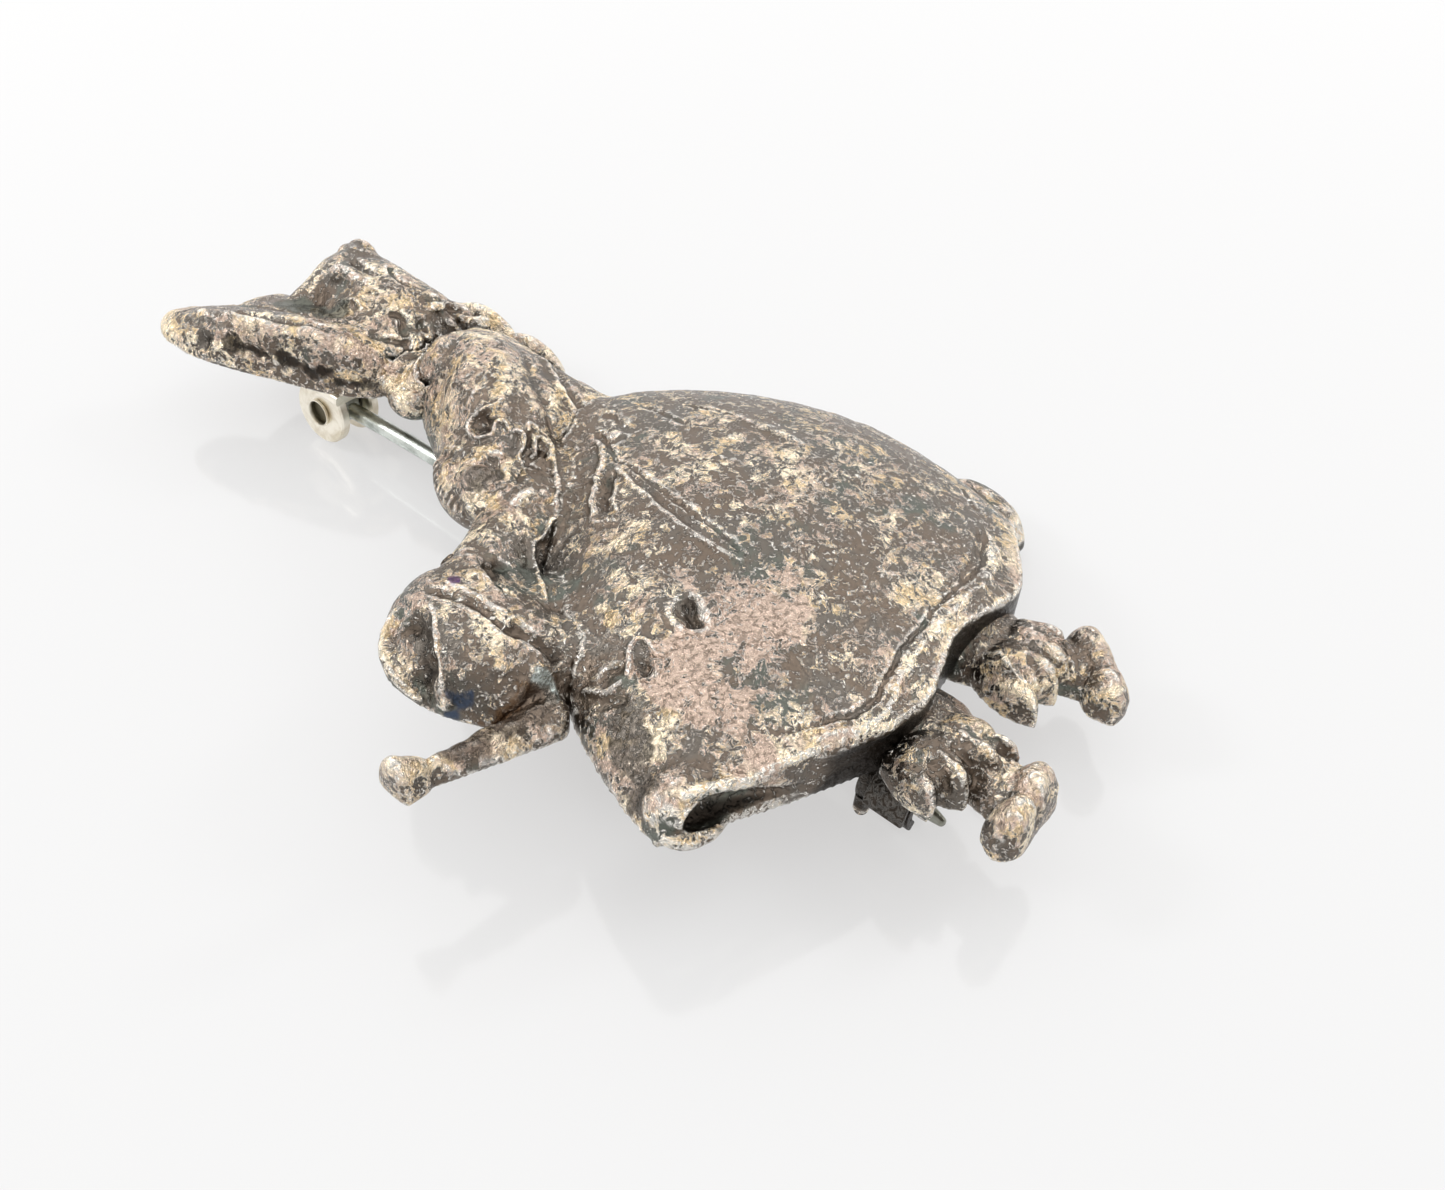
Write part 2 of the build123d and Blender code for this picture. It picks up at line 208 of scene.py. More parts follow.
def smooth_line(points: Sequence[Sequence[float]], steps: int = 6) -> np.ndarray:
    """Run a curve through points: a Catmull-Rom cubic between each two.

    Args:
        points: The points that the curve passes.
        steps: How many steps between two points.

    Returns:
        The curve's points, one a row.
    """
    known = np.asarray(points, float)
    if len(known) < 2:
        return known
    padded = np.vstack([2 * known[0] - known[1], known, 2 * known[-1] - known[-2]])
    share = np.linspace(0, 1, steps, endpoint=False)[:, None]
    spans = []
    for before, start, end, after in zip(padded, padded[1:], padded[2:], padded[3:]):
        linear = end - before
        square = 2 * before - 5 * start + 4 * end - after
        cube = 3 * start - before - 3 * end + after
        spans.append(start + 0.5 * share * (linear + share * (square + share * cube)))
    return np.vstack([*spans, known[-1:]])


def nearest(points: np.ndarray, line: np.ndarray) -> tuple[np.ndarray, np.ndarray]:
    """Find how far points are from a line, in plan or in space.

    Args:
        points: Points, X and Y, or X, Y and Z.
        line: The line's points, of as many columns.

    Returns:
        The distance, and the share of the line's length at the nearest place.
    """
    distance = np.full(len(points), np.inf)
    share = np.zeros(len(points))
    last = max(len(line) - 1, 1)
    for index, (start, end) in enumerate(zip(line, line[1:] if len(line) > 1 else line)):
        run = end - start
        offset = points - start
        at = np.clip(offset @ run / max(run @ run, 1e-9), 0, 1)
        gap = np.linalg.norm(offset - at[:, None] * run, axis=1)
        closer = gap < distance
        distance[closer] = gap[closer]
        share[closer] = (index + at[closer]) / last
    return distance, share


@dataclass(frozen=True)
class Stroke:
    """A line of the relief, cut or raised: its points in plan or in space, width and height."""

    line: tuple[tuple[float, ...], ...]
    width: float
    height: float
    mark: Mark = Mark.RIDGE

    def lift(self, points: np.ndarray) -> np.ndarray:
        """Work out how much the stroke raises each point.

        A ridge is height times exp(-(distance / width)^2). A channel is a flat-floored dent,
        height times -exp(-(distance / width)^4), with a rim a third further out.

        Args:
            points: Points of the relief.

        Returns:
            The rise at each point.
        """
        line = smooth_line(self.line)
        place = points[:, : line.shape[1]]
        reach = 3 * self.width
        rise = np.zeros(len(place))
        near = np.all((place > line.min(0) - reach) & (place < line.max(0) + reach), axis=1)
        if not near.any():
            return rise
        distance, share = nearest(place[near], line)
        long = np.linalg.norm(line[-1] - line[0]) > 4 * self.width
        ends = eased(np.minimum(share, 1 - share), -0.02, 0.14) if long else 1.0
        away = distance / self.width
        if self.mark is Mark.CHANNEL:
            rim = 0.42 * np.exp(-(((away - 1.35) / 0.4) ** 2))
            rise[near] = self.height * ends * (rim - np.exp(-(away**4)))
        else:
            rise[near] = self.height * ends * np.exp(-(away**2))
        return rise


def lifted(strokes: Iterable[Stroke], points: np.ndarray, wander: float = 0.18) -> np.ndarray:
    """Add up strokes on a relief, with their lines made to wander a little.

    Args:
        strokes: The strokes.
        points: Points of the relief.
        wander: How far the lines wander.

    Returns:
        The rise at each point.
    """
    flat = points * (1, 1, 0)
    drift = np.column_stack([layered(flat, 0.9, 301, 2), layered(flat, 0.9, 302, 2), np.zeros(len(flat))])
    wandered = points + wander * drift
    return sum((stroke.lift(wandered) for stroke in strokes), np.zeros(len(points)))


# Closed surfaces, each a grid of points that closes on itself round its columns

DOME_GRID = (44, 72)
BELL_GRID = (120, 260)
BALL_GRID = (20, 32)
TUBE_COLUMNS = 28
CAP_ROWS = 5
HALVINGS = 24


def through(knots: np.ndarray, values: np.ndarray, at: np.ndarray) -> np.ndarray:
    """Run a natural cubic spline through values at knots.

    Args:
        knots: Where the values stand, rising.
        values: The values.
        at: Where the spline is read.

    Returns:
        The spline at each place.
    """
    gaps = np.diff(knots)
    slopes = np.diff(values) / gaps
    count = len(knots)
    system = np.eye(count)
    right = np.zeros(count)
    for row in range(1, count - 1):
        system[row, row - 1 : row + 2] = gaps[row - 1], 2 * (gaps[row - 1] + gaps[row]), gaps[row]
        right[row] = 6 * (slopes[row] - slopes[row - 1])
    bend = np.linalg.solve(system, right)
    span = np.clip(np.searchsorted(knots, at, "right") - 1, 0, count - 2)
    step = at - knots[span]
    gap = gaps[span]
    linear = slopes[span] - gap * (2 * bend[span] + bend[span + 1]) / 6
    cube = (bend[span + 1] - bend[span]) / (6 * gap)
    return values[span] + step * (linear + step * (bend[span] / 2 + step * cube))


def stand(form: Form, along: np.ndarray, side: np.ndarray, height: np.ndarray) -> np.ndarray:
    """Turn a form's own lengths into points of the casting.

    A point is the start - along x (sin, cos) + side x (cos, -sin) of the heading.

    Args:
        form: The form.
        along: Lengths down its run.
        side: Lengths to its side.
        height: Heights above its base.

    Returns:
        The points.
    """
    turn = math.radians(form.heading)
    x = form.x - along * math.sin(turn) + side * math.cos(turn)
    y = form.y - along * math.cos(turn) - side * math.sin(turn)
    return np.stack(np.broadcast_arrays(x, y, height + form.base), axis=-1)


def dome(form: Form, sections: Sequence[Section], inset: float = 0.0, rounded: float = 0.12) -> np.ndarray:
    """Carry a half ellipse on a flat foot along a form, with both ends rounded off.

    Along the run, splines through the sections give the left and right edge, the foot and the
    crest. Round it, the side is middle + half width x cos(angle), and the height is foot +
    (crest - foot) x sin(angle) where that is positive.

    Args:
        form: The form.
        sections: Its cross sections.
        inset: How far inside the form its sides, crest and foot lie.
        rounded: Share of the length over which an end is rounded.

    Returns:
        A grid of points, closed round its columns and at both end rows.
    """
    knots = np.array([row.along for row in sections])
    start, end = knots[0], knots[-1]
    run = start + (end - start) * (0.5 - 0.5 * np.cos(np.linspace(0, math.pi, DOME_GRID[0])))
    table = dict(zip(Section._fields, np.array(sections, float).T))
    read = {name: through(knots, values, run) for name, values in table.items()}
    left = (read["left"] * form.width + inset)[:, None]
    right = (read["right"] * form.width - inset)[:, None]
    foot = (read["foot"] * form.depth - inset)[:, None]
    crest = (read["crest"] * form.depth - inset)[:, None]
    close = np.minimum(run - start, end - run) / (end - start)
    swell = np.sqrt(1 - (1 - np.clip(close / rounded, 0, 1)) ** 2)[:, None]
    angle = np.linspace(0, 2 * math.pi, DOME_GRID[1], endpoint=False)[None, :]
    side = (left + right) / 2 + swell * (right - left) / 2 * np.cos(angle)
    height = foot + swell**0.6 * (crest - foot) * np.maximum(np.sin(angle), 0)
    along = (inset + run * (form.length - 2 * inset))[:, None]
    return stand(form, along, side, height)


def bell(
    form: Form,
    sections: Sequence[Section],
    hem: Sequence[Plan],
    inset: float = 0.0,
    shift: float = 0.0,
) -> np.ndarray:
    """Carry a half ellipse down the skirt, each column ending where it meets the hem.

    The hem's place on each column comes from halving the column's length until the plan point
    lies on the hem's curve. A last row at half height closes the hem's wall.

    Args:
        form: The skirt's form.
        sections: Its cross sections.
        hem: The hem's plan points, shares of width and length.
        inset: How far inside the form the surface lies.
        shift: How far up the skirt the hem is moved.

    Returns:
        A grid of points, closed round its columns and at both end rows.
    """
    knots = np.array([row.along for row in sections])
    table = dict(zip(Section._fields, np.array(sections, float).T))
    edge = smooth_line([(x * form.width, -y * form.length + shift) for x, y in hem])
    angle = np.linspace(0, 2 * math.pi, BELL_GRID[1], endpoint=False)

    def sides(run: np.ndarray) -> tuple[np.ndarray, np.ndarray]:
        """Read the bell's width off the sections.

        Args:
            run: Shares of the run.

        Returns:
            The middle and the half width at each.
        """
        left = through(knots, table["left"], run) * form.width + inset
        right = through(knots, table["right"], run) * form.width - inset
        return (left + right) / 2, (right - left) / 2

    low = np.zeros(len(angle))
    high = np.full(len(angle), knots[-1])
    for _ in range(HALVINGS):
        half = (low + high) / 2
        middle, width = sides(half)
        x = middle + width * np.cos(angle)
        beyond = -half * form.length < np.interp(x, edge[:, 0], edge[:, 1])
        high = np.where(beyond, half, high)
        low = np.where(beyond, low, half)
    run = np.linspace(0, 1, BELL_GRID[0])[:, None] ** 0.8 * low[None, :] + inset / form.length
    middle, width = sides(run)
    crest = through(knots, table["crest"], run) * form.depth - inset
    swell = np.sqrt(1 - (1 - np.clip((run - run[0]) / 0.05, 0, 1)) ** 2)
    side = middle + swell * width * np.cos(angle)
    height = -inset + (crest + inset) * np.maximum(np.sin(angle), 0)
    grid = stand(form, run * form.length, side, height)
    closing = grid[-1:].copy()
    mirrored = np.roll(closing[:, ::-1], 1, axis=1)
    closing[..., 2] = (closing[..., 2] + mirrored[..., 2]) / 2
    return np.concatenate([grid, closing])


def tube(path: np.ndarray, radius: np.ndarray | float, flatten: float = 1.0) -> np.ndarray:
    """Carry a circle along a path, with both ends closed to a rounded point.

    Each ring lies square to the path: its two directions are square to the path's run, one of
    them level.

    Args:
        path: The path's points.
        radius: The circle's radius, one for all or one a point.
        flatten: Share of the radius that the circle has upwards.

    Returns:
        A grid of points, closed round its columns and at both end rows.
    """
    radii = np.broadcast_to(np.asarray(radius, float), len(path)).copy()
    run = np.gradient(path, axis=0)
    run /= np.linalg.norm(run, axis=1, keepdims=True)
    level = np.cross(run, (0, 0, 1))
    level /= np.maximum(np.linalg.norm(level, axis=1, keepdims=True), 1e-9)
    rise = np.cross(level, run)
    reach = np.linspace(0, 1, CAP_ROWS)[:, None]
    cap = np.sqrt(1 - reach**2)
    first = path[0] - reach * run[0] * radii[0]
    last = path[-1] + reach * run[-1] * radii[-1]
    middles = np.vstack([first[:0:-1], path, last[1:]])
    sizes = np.concatenate([radii[0] * cap[:0:-1, 0], radii, radii[-1] * cap[1:, 0]])
    level, rise = (np.pad(way, ((CAP_ROWS - 1, CAP_ROWS - 1), (0, 0)), "edge") for way in (level, rise))
    angle = np.linspace(0, 2 * math.pi, TUBE_COLUMNS, endpoint=False)[None, :, None]
    ring = np.cos(angle) * level[:, None] + flatten * np.sin(angle) * rise[:, None]
    return middles[:, None] + sizes[:, None, None] * ring


def ball(lump: Lump) -> np.ndarray:
    """Stretch a ball to a lump's half sizes and turn it.

    Along is half length x cos(polar), side is half width x sin(polar) x cos(angle), and height
    is half height x sin(polar) x sin(angle).

    Args:
        lump: The lump.

    Returns:
        A grid of points, closed round its columns.
    """
    polar = np.linspace(0, math.pi, BALL_GRID[0])[:, None]
    angle = np.linspace(0, 2 * math.pi, BALL_GRID[1], endpoint=False)[None, :]
    along = lump.half_length * np.cos(polar) * np.ones_like(angle)
    side = lump.half_width * np.sin(polar) * np.cos(angle)
    height = lump.z + lump.half_height * np.sin(polar) * np.sin(angle)
    return stand(Form(lump.x, lump.y, lump.heading, 0, 0, 0), along, side, height)


# Meshes


def mesh_of(name: str, grids: Sequence[np.ndarray]) -> bpy.types.Object:
    """Make one object of closed grids, each wrapped round its columns.

    Args:
        name: The object's name.
        grids: Grids of points, rows by columns.

    Returns:
        The object.
    """
    corners, faces, offset = [], [], 0
    for grid in grids:
        rows, columns = grid.shape[:2]
        index = offset + np.arange(rows * columns).reshape(rows, columns)
        after = np.roll(index, -1, axis=1)
        faces.append(np.stack([index[:-1], index[1:], after[1:], after[:-1]], axis=-1).reshape(-1, 4))
        corners.append(grid.reshape(-1, 3))
        offset += rows * columns
    points = np.vstack(corners).astype(np.float32)
    quads = np.vstack(faces).astype(np.int32)
    mesh = bpy.data.meshes.new(name)
    mesh.vertices.add(len(points))
    mesh.vertices.foreach_set("co", points.ravel())
    mesh.loops.add(quads.size)
    mesh.loops.foreach_set("vertex_index", quads.ravel())
    mesh.polygons.add(len(quads))
    mesh.polygons.foreach_set("loop_start", np.arange(0, quads.size, 4, dtype=np.int32))
    mesh.update(calc_edges=True)
    mesh.validate()
    piece = bpy.data.objects.new(name, mesh)
    bpy.context.scene.collection.objects.link(piece)
    return piece


def settled(piece: bpy.types.Object) -> bpy.types.Object:
    """Apply a piece's modifiers to its mesh.

    Args:
        piece: The piece.

    Returns:
        The piece.
    """
    bpy.context.view_layer.update()
    shaped = piece.evaluated_get(bpy.context.evaluated_depsgraph_get())
    mesh = bpy.data.meshes.new_from_object(shaped)
    piece.modifiers.clear()
    old = piece.data
    piece.data = mesh
    bpy.data.meshes.remove(old)
    return piece


def fused(name: str, grids: Sequence[np.ndarray], cell: float) -> bpy.types.Object:
    """Fuse overlapping closed grids into one skin of even squares.

    Args:
        name: The object's name.
        grids: The grids.
        cell: The squares' side.

    Returns:
        The object.
    """
    piece = mesh_of(name, grids)
    remesh = piece.modifiers.new("fuse", "REMESH")
    remesh.mode = "VOXEL"
    remesh.voxel_size = cell
    remesh.adaptivity = 0
    return settled(piece)


def carved(piece: bpy.types.Object, cutter: bpy.types.Object, cell: float) -> bpy.types.Object:
    """Take a cutter out of a fused piece and even its skin again.

    Args:
        piece: The piece.
        cutter: What is taken out.
        cell: The skin's squares' side.

    Returns:
        The piece.
    """
    cut = piece.modifiers.new("carve", "BOOLEAN")
    cut.operation = "DIFFERENCE"
    cut.solver = "MANIFOLD"
    cut.object = cutter
    even = piece.modifiers.new("even", "REMESH")
    even.mode = "VOXEL"
    even.voxel_size = cell
    even.adaptivity = 0
    return settled(piece)


def finish_mesh(piece: bpy.types.Object, material: bpy.types.Material, body: str) -> None:
    """Dress a piece, smooth its shading and let it ride.

    Args:
        piece: The piece.
        material: Its finish.
        body: The body it rides on.
    """
    piece.data.materials.clear()
    piece.data.materials.append(material)
    piece.data.polygons.foreach_set("use_smooth", np.ones(len(piece.data.polygons), bool))
    piece.data.update()
    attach(piece, body)
    LOG.info("%s: %d faces", piece.name, len(piece.data.polygons))


def sharpen(piece: bpy.types.Object, angle: float = 32.0) -> None:
    """Shade a piece's edges crisp where its faces meet at more than an angle."""
    piece.data.set_sharp_from_angle(angle=math.radians(angle))


@dataclass
class Skin:
    """A fused mass of the casting as arrays."""

    piece: bpy.types.Object
    points: np.ndarray
    edges: np.ndarray

    @classmethod
    def of(cls, piece: bpy.types.Object) -> "Skin":
        """Read a piece's mesh.

        Args:
            piece: The piece.

        Returns:
            Its skin.
        """
        mesh = piece.data
        points = np.empty(3 * len(mesh.vertices), np.float32)
        mesh.vertices.foreach_get("co", points)
        edges = np.empty(2 * len(mesh.edges), np.int32)
        mesh.edges.foreach_get("vertices", edges)
        return cls(piece, points.reshape(-1, 3).astype(float), edges.reshape(-1, 2))

    def around(self, values: np.ndarray) -> np.ndarray:
        """Average the neighbours of each point.

        Args:
            values: Values, a row a point.

        Returns:
            The means, a row a point.
        """
        count = len(self.points)
        first, second = self.edges.T
        shared = np.bincount(first, minlength=count) + np.bincount(second, minlength=count)
        columns = values.reshape(count, -1)
        total = np.column_stack(
            [
                np.bincount(first, column[second], count) + np.bincount(second, column[first], count)
                for column in columns.T
            ]
        )
        return (total / shared[:, None]).reshape(values.shape)

    def even(self, passes: int) -> None:
        """Soften the skin without shrinking it: a pass in towards the neighbours, and one out.

        Args:
            passes: How many times.
        """
        for _ in range(passes):
            for step in (0.5, -0.52):
                self.points += step * (self.around(self.points) - self.points)

    def normals(self) -> np.ndarray:
        """Put the points into the mesh and read the way that each faces.

        Returns:
            One direction a point.
        """
        mesh = self.piece.data
        mesh.vertices.foreach_set("co", self.points.astype(np.float32).ravel())
        mesh.update()
        facing = np.empty(3 * len(mesh.vertices), np.float32)
        mesh.vertex_normals.foreach_get("vector", facing)
        return facing.reshape(-1, 3).astype(float)

    def rounding(self, passes: int) -> np.ndarray:
        """Tell how far each point stands out from its surroundings.

        Args:
            passes: How many neighbours away the surroundings reach.

        Returns:
            One length a point.
        """
        facing = self.normals()
        level = self.points
        for _ in range(passes):
            level = self.around(level)
        return np.einsum("ij,ij->i", self.points - level, facing)

    def note(self, name: str, values: np.ndarray) -> None:
        """Keep a value a point under a name that the finish reads."""
        attribute = self.piece.data.attributes.new(name, "FLOAT", "POINT")
        attribute.data.foreach_set("value", values.astype(np.float32))


# Finishes


@dataclass
class Graph:
    """A material's nodes, added one by one."""

    name: str
    material: bpy.types.Material = field(init=False)
    tree: bpy.types.NodeTree = field(init=False)
    shader: bpy.types.Node = field(init=False)
    place: Socket = field(init=False)

    def __post_init__(self) -> None:
        """Start an empty node tree with its output and a shader."""
        self.material = bpy.data.materials.new(self.name)
        self.material.use_nodes = True
        self.tree = self.material.node_tree
        self.tree.nodes.clear()
        self.shader = self.tree.nodes.new("ShaderNodeBsdfPrincipled")
        output = self.tree.nodes.new("ShaderNodeOutputMaterial")
        self.tree.links.new(self.shader.outputs["BSDF"], output.inputs["Surface"])
        self.place = self.tree.nodes.new("ShaderNodeTexCoord").outputs["Object"]

    def join(self, value: object, socket: Socket) -> None:
        """Link a socket, or set a constant.

        Args:
            value: Another node's socket, or a number, a colour or a direction.
            socket: The input.
        """
        if isinstance(value, Socket):
            self.tree.links.new(value, socket)
        elif isinstance(value, tuple):
            opaque = len(value) == 3 and len(socket.default_value) == 4
            socket.default_value = (*value, 1.0) if opaque else value
        else:
            socket.default_value = value

    def grain(self, size: float, detail: float, rough: float, twist: float) -> Socket:
        """Add noise whose coarsest spots are about one size.

        Args:
            size: That size, in millimetres.
            detail: How many finer layers it has.
            rough: How strong the finer layers are.
            twist: How far it is pulled about.

        Returns:
            The noise, from 0 to 1.
        """
        node = self.tree.nodes.new("ShaderNodeTexNoise")
        self.join(self.place, node.inputs["Vector"])
        node.inputs["Scale"].default_value = 1 / (size * MM)
        node.inputs["Detail"].default_value = detail
        node.inputs["Roughness"].default_value = rough
        node.inputs["Distortion"].default_value = twist
        return node.outputs["Fac"]

    def noted(self, name: str) -> Socket:
        """Read a value that the mesh keeps for each point.

        Args:
            name: The value's name.

        Returns:
            The value.
        """
        node = self.tree.nodes.new("ShaderNodeAttribute")
        node.attribute_name = name
        return node.outputs["Fac"]

    def reckon(self, operation: str, first: object, second: object = 0.0, third: object = 0.0) -> Socket:
        """Reckon with two or three values.

        Args:
            operation: Blender's name for it.
            first: A value.
            second: Another.
            third: Another.

        Returns:
            The outcome.
        """
        node = self.tree.nodes.new("ShaderNodeMath")
        node.operation = operation
        for value, socket in zip((first, second, third), node.inputs):
            self.join(value, socket)
        return node.outputs[0]

    def step(self, value: object, low: float, high: float) -> Socket:
        """Rise smoothly from 0 to 1.

        Args:
            value: What is read.
            low: Where the rise starts.
            high: Where it ends.

        Returns:
            The share, from 0 to 1.
        """
        node = self.tree.nodes.new("ShaderNodeMapRange")
        node.interpolation_type = "SMOOTHSTEP"
        self.join(value, node.inputs["Value"])
        node.inputs["From Min"].default_value = low
        node.inputs["From Max"].default_value = high
        return node.outputs["Result"]

    def blend(self, share: object, first: object, second: object) -> Socket:
        """Mix two colours.

        Args:
            share: Share of the second.
            first: A colour.
            second: Another.

        Returns:
            The colour.
        """
        node = self.tree.nodes.new("ShaderNodeMix")
        node.data_type = "RGBA"
        self.join(share, node.inputs[0])
        self.join(first, node.inputs[6])
        self.join(second, node.inputs[7])
        return node.outputs[2]

    def between(self, share: object, first: float, second: float) -> Socket:
        """Mix two numbers.

        Args:
            share: Share of the second.
            first: A number.
            second: Another.

        Returns:
            The number.
        """
        node = self.tree.nodes.new("ShaderNodeMix")
        self.join(share, node.inputs[0])
        node.inputs[2].default_value = first
        node.inputs[3].default_value = second
        return node.outputs[0]

    def bump(self, height: object, depth: float, below: object = None) -> Socket:
        """Bend the surface's direction by a height.

        Args:
            height: The height, from 0 to 1.
            depth: Its full depth, in millimetres.
            below: A coarser bump that it is laid on.

        Returns:
            The direction.
        """
        node = self.tree.nodes.new("ShaderNodeBump")
        node.inputs["Strength"].default_value = 1.0
        node.inputs["Distance"].default_value = depth * MM
        self.join(height, node.inputs["Height"])
        if below is not None:
            self.join(below, node.inputs["Normal"])
        return node.outputs["Normal"]

    def set(self, **values: object) -> None:
        """Set the shader's inputs by name."""
        for name, value in values.items():
            self.join(value, self.shader.inputs[name.replace("_", " ")])


class StainOrShade(NamedTuple):
    """A coloured patch on the casting, where it lies and how ragged it is: most are stains of the silver, and
    those named for shade are painted shade.
    """

    name: str
    tint: str
    places: tuple[tuple[float, ...], ...]
    radius: float
    ragged: float = 1.1


BRIM_TROUGH = (
    (-10.3, 18.1, 1.3),
    (-9.5, 16.2, 1.4),
    (-8.8, 14.9, 1.25),
    (-8.2, 13.0, 1.2),
    (-7.4, 12.0, 0.95),
    (-6.8, 10.8, 1.0),
)
# Stains of the silver, and two painted shades: along the brim's trough and over the bow under the skirt's far
# edge
STAINS_AND_SHADES = (
    StainOrShade("violet", "violet", ((-16.9, -6.5),), 0.36),
    StainOrShade("blue", "blue", ((-20.6, -10.0), (-20.3, -10.5), (-20.0, -10.9)), 0.16),
    StainOrShade("teal", "teal", ((-17.5, -12.8), (-17.4, -13.3)), 0.50),
    StainOrShade("ochre", "golden", ((-5.1, 15.4), (-4.9, 14.6)), 0.50),
    StainOrShade("rust", "rust", ((-20.7, -11.6), (-19.9, -12.2), (-18.9, -12.8), (-18.2, -13.0)), 0.45),
    # painted shade over the bow, tucked low under the skirt's far edge, in the tarnish's green tone
    StainOrShade("bow_shade", "green", ((12.6, -16.4), (13.2, -18.6), (12.6, -20.4)), 1.20),
    StainOrShade("umber", "brown", ((-22.8, -12.5), (-20.5, -13.0), (-18.2, -13.6)), 0.75),
    StainOrShade("film", "green", ((-6.4, 18.4), (-5.4, 16.6), (-5.0, 15.2)), 0.80),
    StainOrShade("grime", "skin", ((-9.9, -1.1), (-9.4, -1.6)), 0.70),
    StainOrShade("smut", "skin", ((-16.8, -17.4), (-17.8, -19.0), (-18.5, -20.4)), 0.75, 1.4),
    # painted shade: a near-black streak along the brim's trough
    StainOrShade("soot", "deep", BRIM_TROUGH, 0.30, 2.8),
)


@dataclass(frozen=True)
class TarnishedSilver:
    """Cast silver under a broken dark skin, worn bright on its high places, with painted glints, highlights
    and shade.
    """

    bright: Colour = (0.94, 0.82, 0.62)
    rosy: Colour = (0.58, 0.455, 0.37)
    golden: Colour = (0.77, 0.61, 0.39)
    # near white: the painted glints and highlights
    pale: Colour = (1.0, 0.97, 0.91)
    skin: Colour = (0.146, 0.130, 0.112)
    brown: Colour = (0.164, 0.130, 0.102)
    green: Colour = (0.122, 0.132, 0.113)
    # near black: the patina of recesses, and painted shade and shadow
    deep: Colour = (0.026, 0.021, 0.017)
    violet: Colour = (0.10, 0.03, 0.16)
    blue: Colour = (0.045, 0.070, 0.12)
    teal: Colour = (0.50, 0.56, 0.54)
    rust: Colour = (0.13, 0.075, 0.038)
    patchy: float = 0.42
    speckled: float = 0.40
    edge_bare: float = 0.075
    # hollows and painted shade keep the dark skin
    hollow_dark: float = -0.25
    worn_bare: float = 0.13
    steep_dark: float = -0.075
    high_bare: float = 0.060
    mark: float = 0.925
    grain_depth: float = 0.24
    bead_depth: float = 0.09
    skin_depth: float = 0.065
    skin_rough: float = 0.27
    bare_rough: float = 0.20

    def material(self) -> bpy.types.Material:
        """Make the finish: islands of dark skin over bare metal, set by grain, height and wear.

        A score adds up the grain and what the mesh notes. Metal is bare where it passes a mark,
        with a painted highlight, a pale rim, at the mark and a painted shadow, a dark moat, below it.
        Pale flecks and pale sharp edges are painted glints, and hollows go near black, partly as the
        patina of recesses and partly as painted shade.

        Returns:
            The material.
        """
        graph = Graph("tarnished_silver")
        hollow, edge, worn = (graph.noted(name) for name in ("hollow", "edge", "worn"))
        patches = graph.grain(4.2, 3.0, 0.5, 0.5)
        spangle = graph.grain(0.30, 4.0, 0.62, 0.9)
        score = graph.grain(0.78, 9.0, 0.76, 0.8)
        for value, weight in (
            (patches, self.patchy),
            (spangle, self.speckled),
            (edge, self.edge_bare),
            (hollow, self.hollow_dark),
            (worn, self.worn_bare),
            (graph.noted("steep"), self.steep_dark),
            (graph.noted("high"), self.high_bare),
        ):
            score = graph.reckon("MULTIPLY_ADD", value, weight, score)
        mark = self.mark
        bare = graph.step(score, mark, mark + 0.015)
        within = graph.step(score, mark + 0.015, mark + 0.040)
        # rim: a painted highlight, a thin pale band round each bare island
        rim = graph.reckon("SUBTRACT", graph.step(score, mark - 0.013, mark + 0.001), within)
        beside = graph.step(score, mark - 0.021, mark - 0.011)
        # moat: a painted shadow, a dark band just outside each island
        moat_shadow = graph.reckon("SUBTRACT", graph.step(score, mark - 0.045, mark - 0.029), beside)
        tone = graph.grain(2.1, 4.0, 0.6, 0.6)
        metal = graph.blend(graph.step(tone, 0.40, 0.62), self.rosy, self.bright)
        metal = graph.blend(graph.step(graph.grain(1.6, 5.0, 0.6, 0.3), 0.51, 0.61), metal, self.golden)
        metal = graph.blend(graph.step(worn, 0.15, 0.8), metal, self.rosy)
        skin = graph.blend(graph.step(graph.grain(2.9, 4.0, 0.6, 0.4), 0.46, 0.62), self.brown, self.skin)
        skin = graph.blend(graph.step(graph.grain(3.4, 4.0, 0.6, 0.7), 0.54, 0.66), skin, self.green)
        skin = graph.blend(graph.reckon("MULTIPLY", moat_shadow, 0.8), skin, self.deep)
        # painted glints: near-white flecks scattered over the dark skin
        skin = graph.blend(graph.step(spangle, 0.59, 0.63), skin, self.pale)
        colour = graph.blend(bare, skin, metal)
        colour = graph.blend(graph.reckon("MULTIPLY", rim, 0.85), colour, self.pale)
        # painted highlight: near white along sharp edges where the fine grain is high
        crest = graph.reckon("MULTIPLY", graph.step(edge, 0.40, 0.95), graph.step(spangle, 0.42, 0.54))
        colour = graph.blend(graph.reckon("MULTIPLY", crest, 0.8), colour, self.pale)
        # hollows and noted shade go near black: partly the patina of recesses, partly painted shade
        colour = graph.blend(graph.step(hollow, 0.30, 1.3), colour, self.deep)
        for stain_or_shade in STAINS_AND_SHADES:
            colour = graph.blend(graph.noted(stain_or_shade.name), colour, getattr(self, stain_or_shade.tint))
        fine = graph.bump(graph.reckon("MULTIPLY", spangle, graph.between(bare, 0.3, 1.0)), self.grain_depth)
        beads = graph.bump(graph.step(spangle, 0.54, 0.68), self.bead_depth, fine)
        graph.set(
            Base_Color=colour,
            Metallic=1.0,
            Roughness=graph.between(bare, self.skin_rough, self.bare_rough),
            Normal=graph.bump(bare, self.skin_depth, beads),
        )
        return graph.material


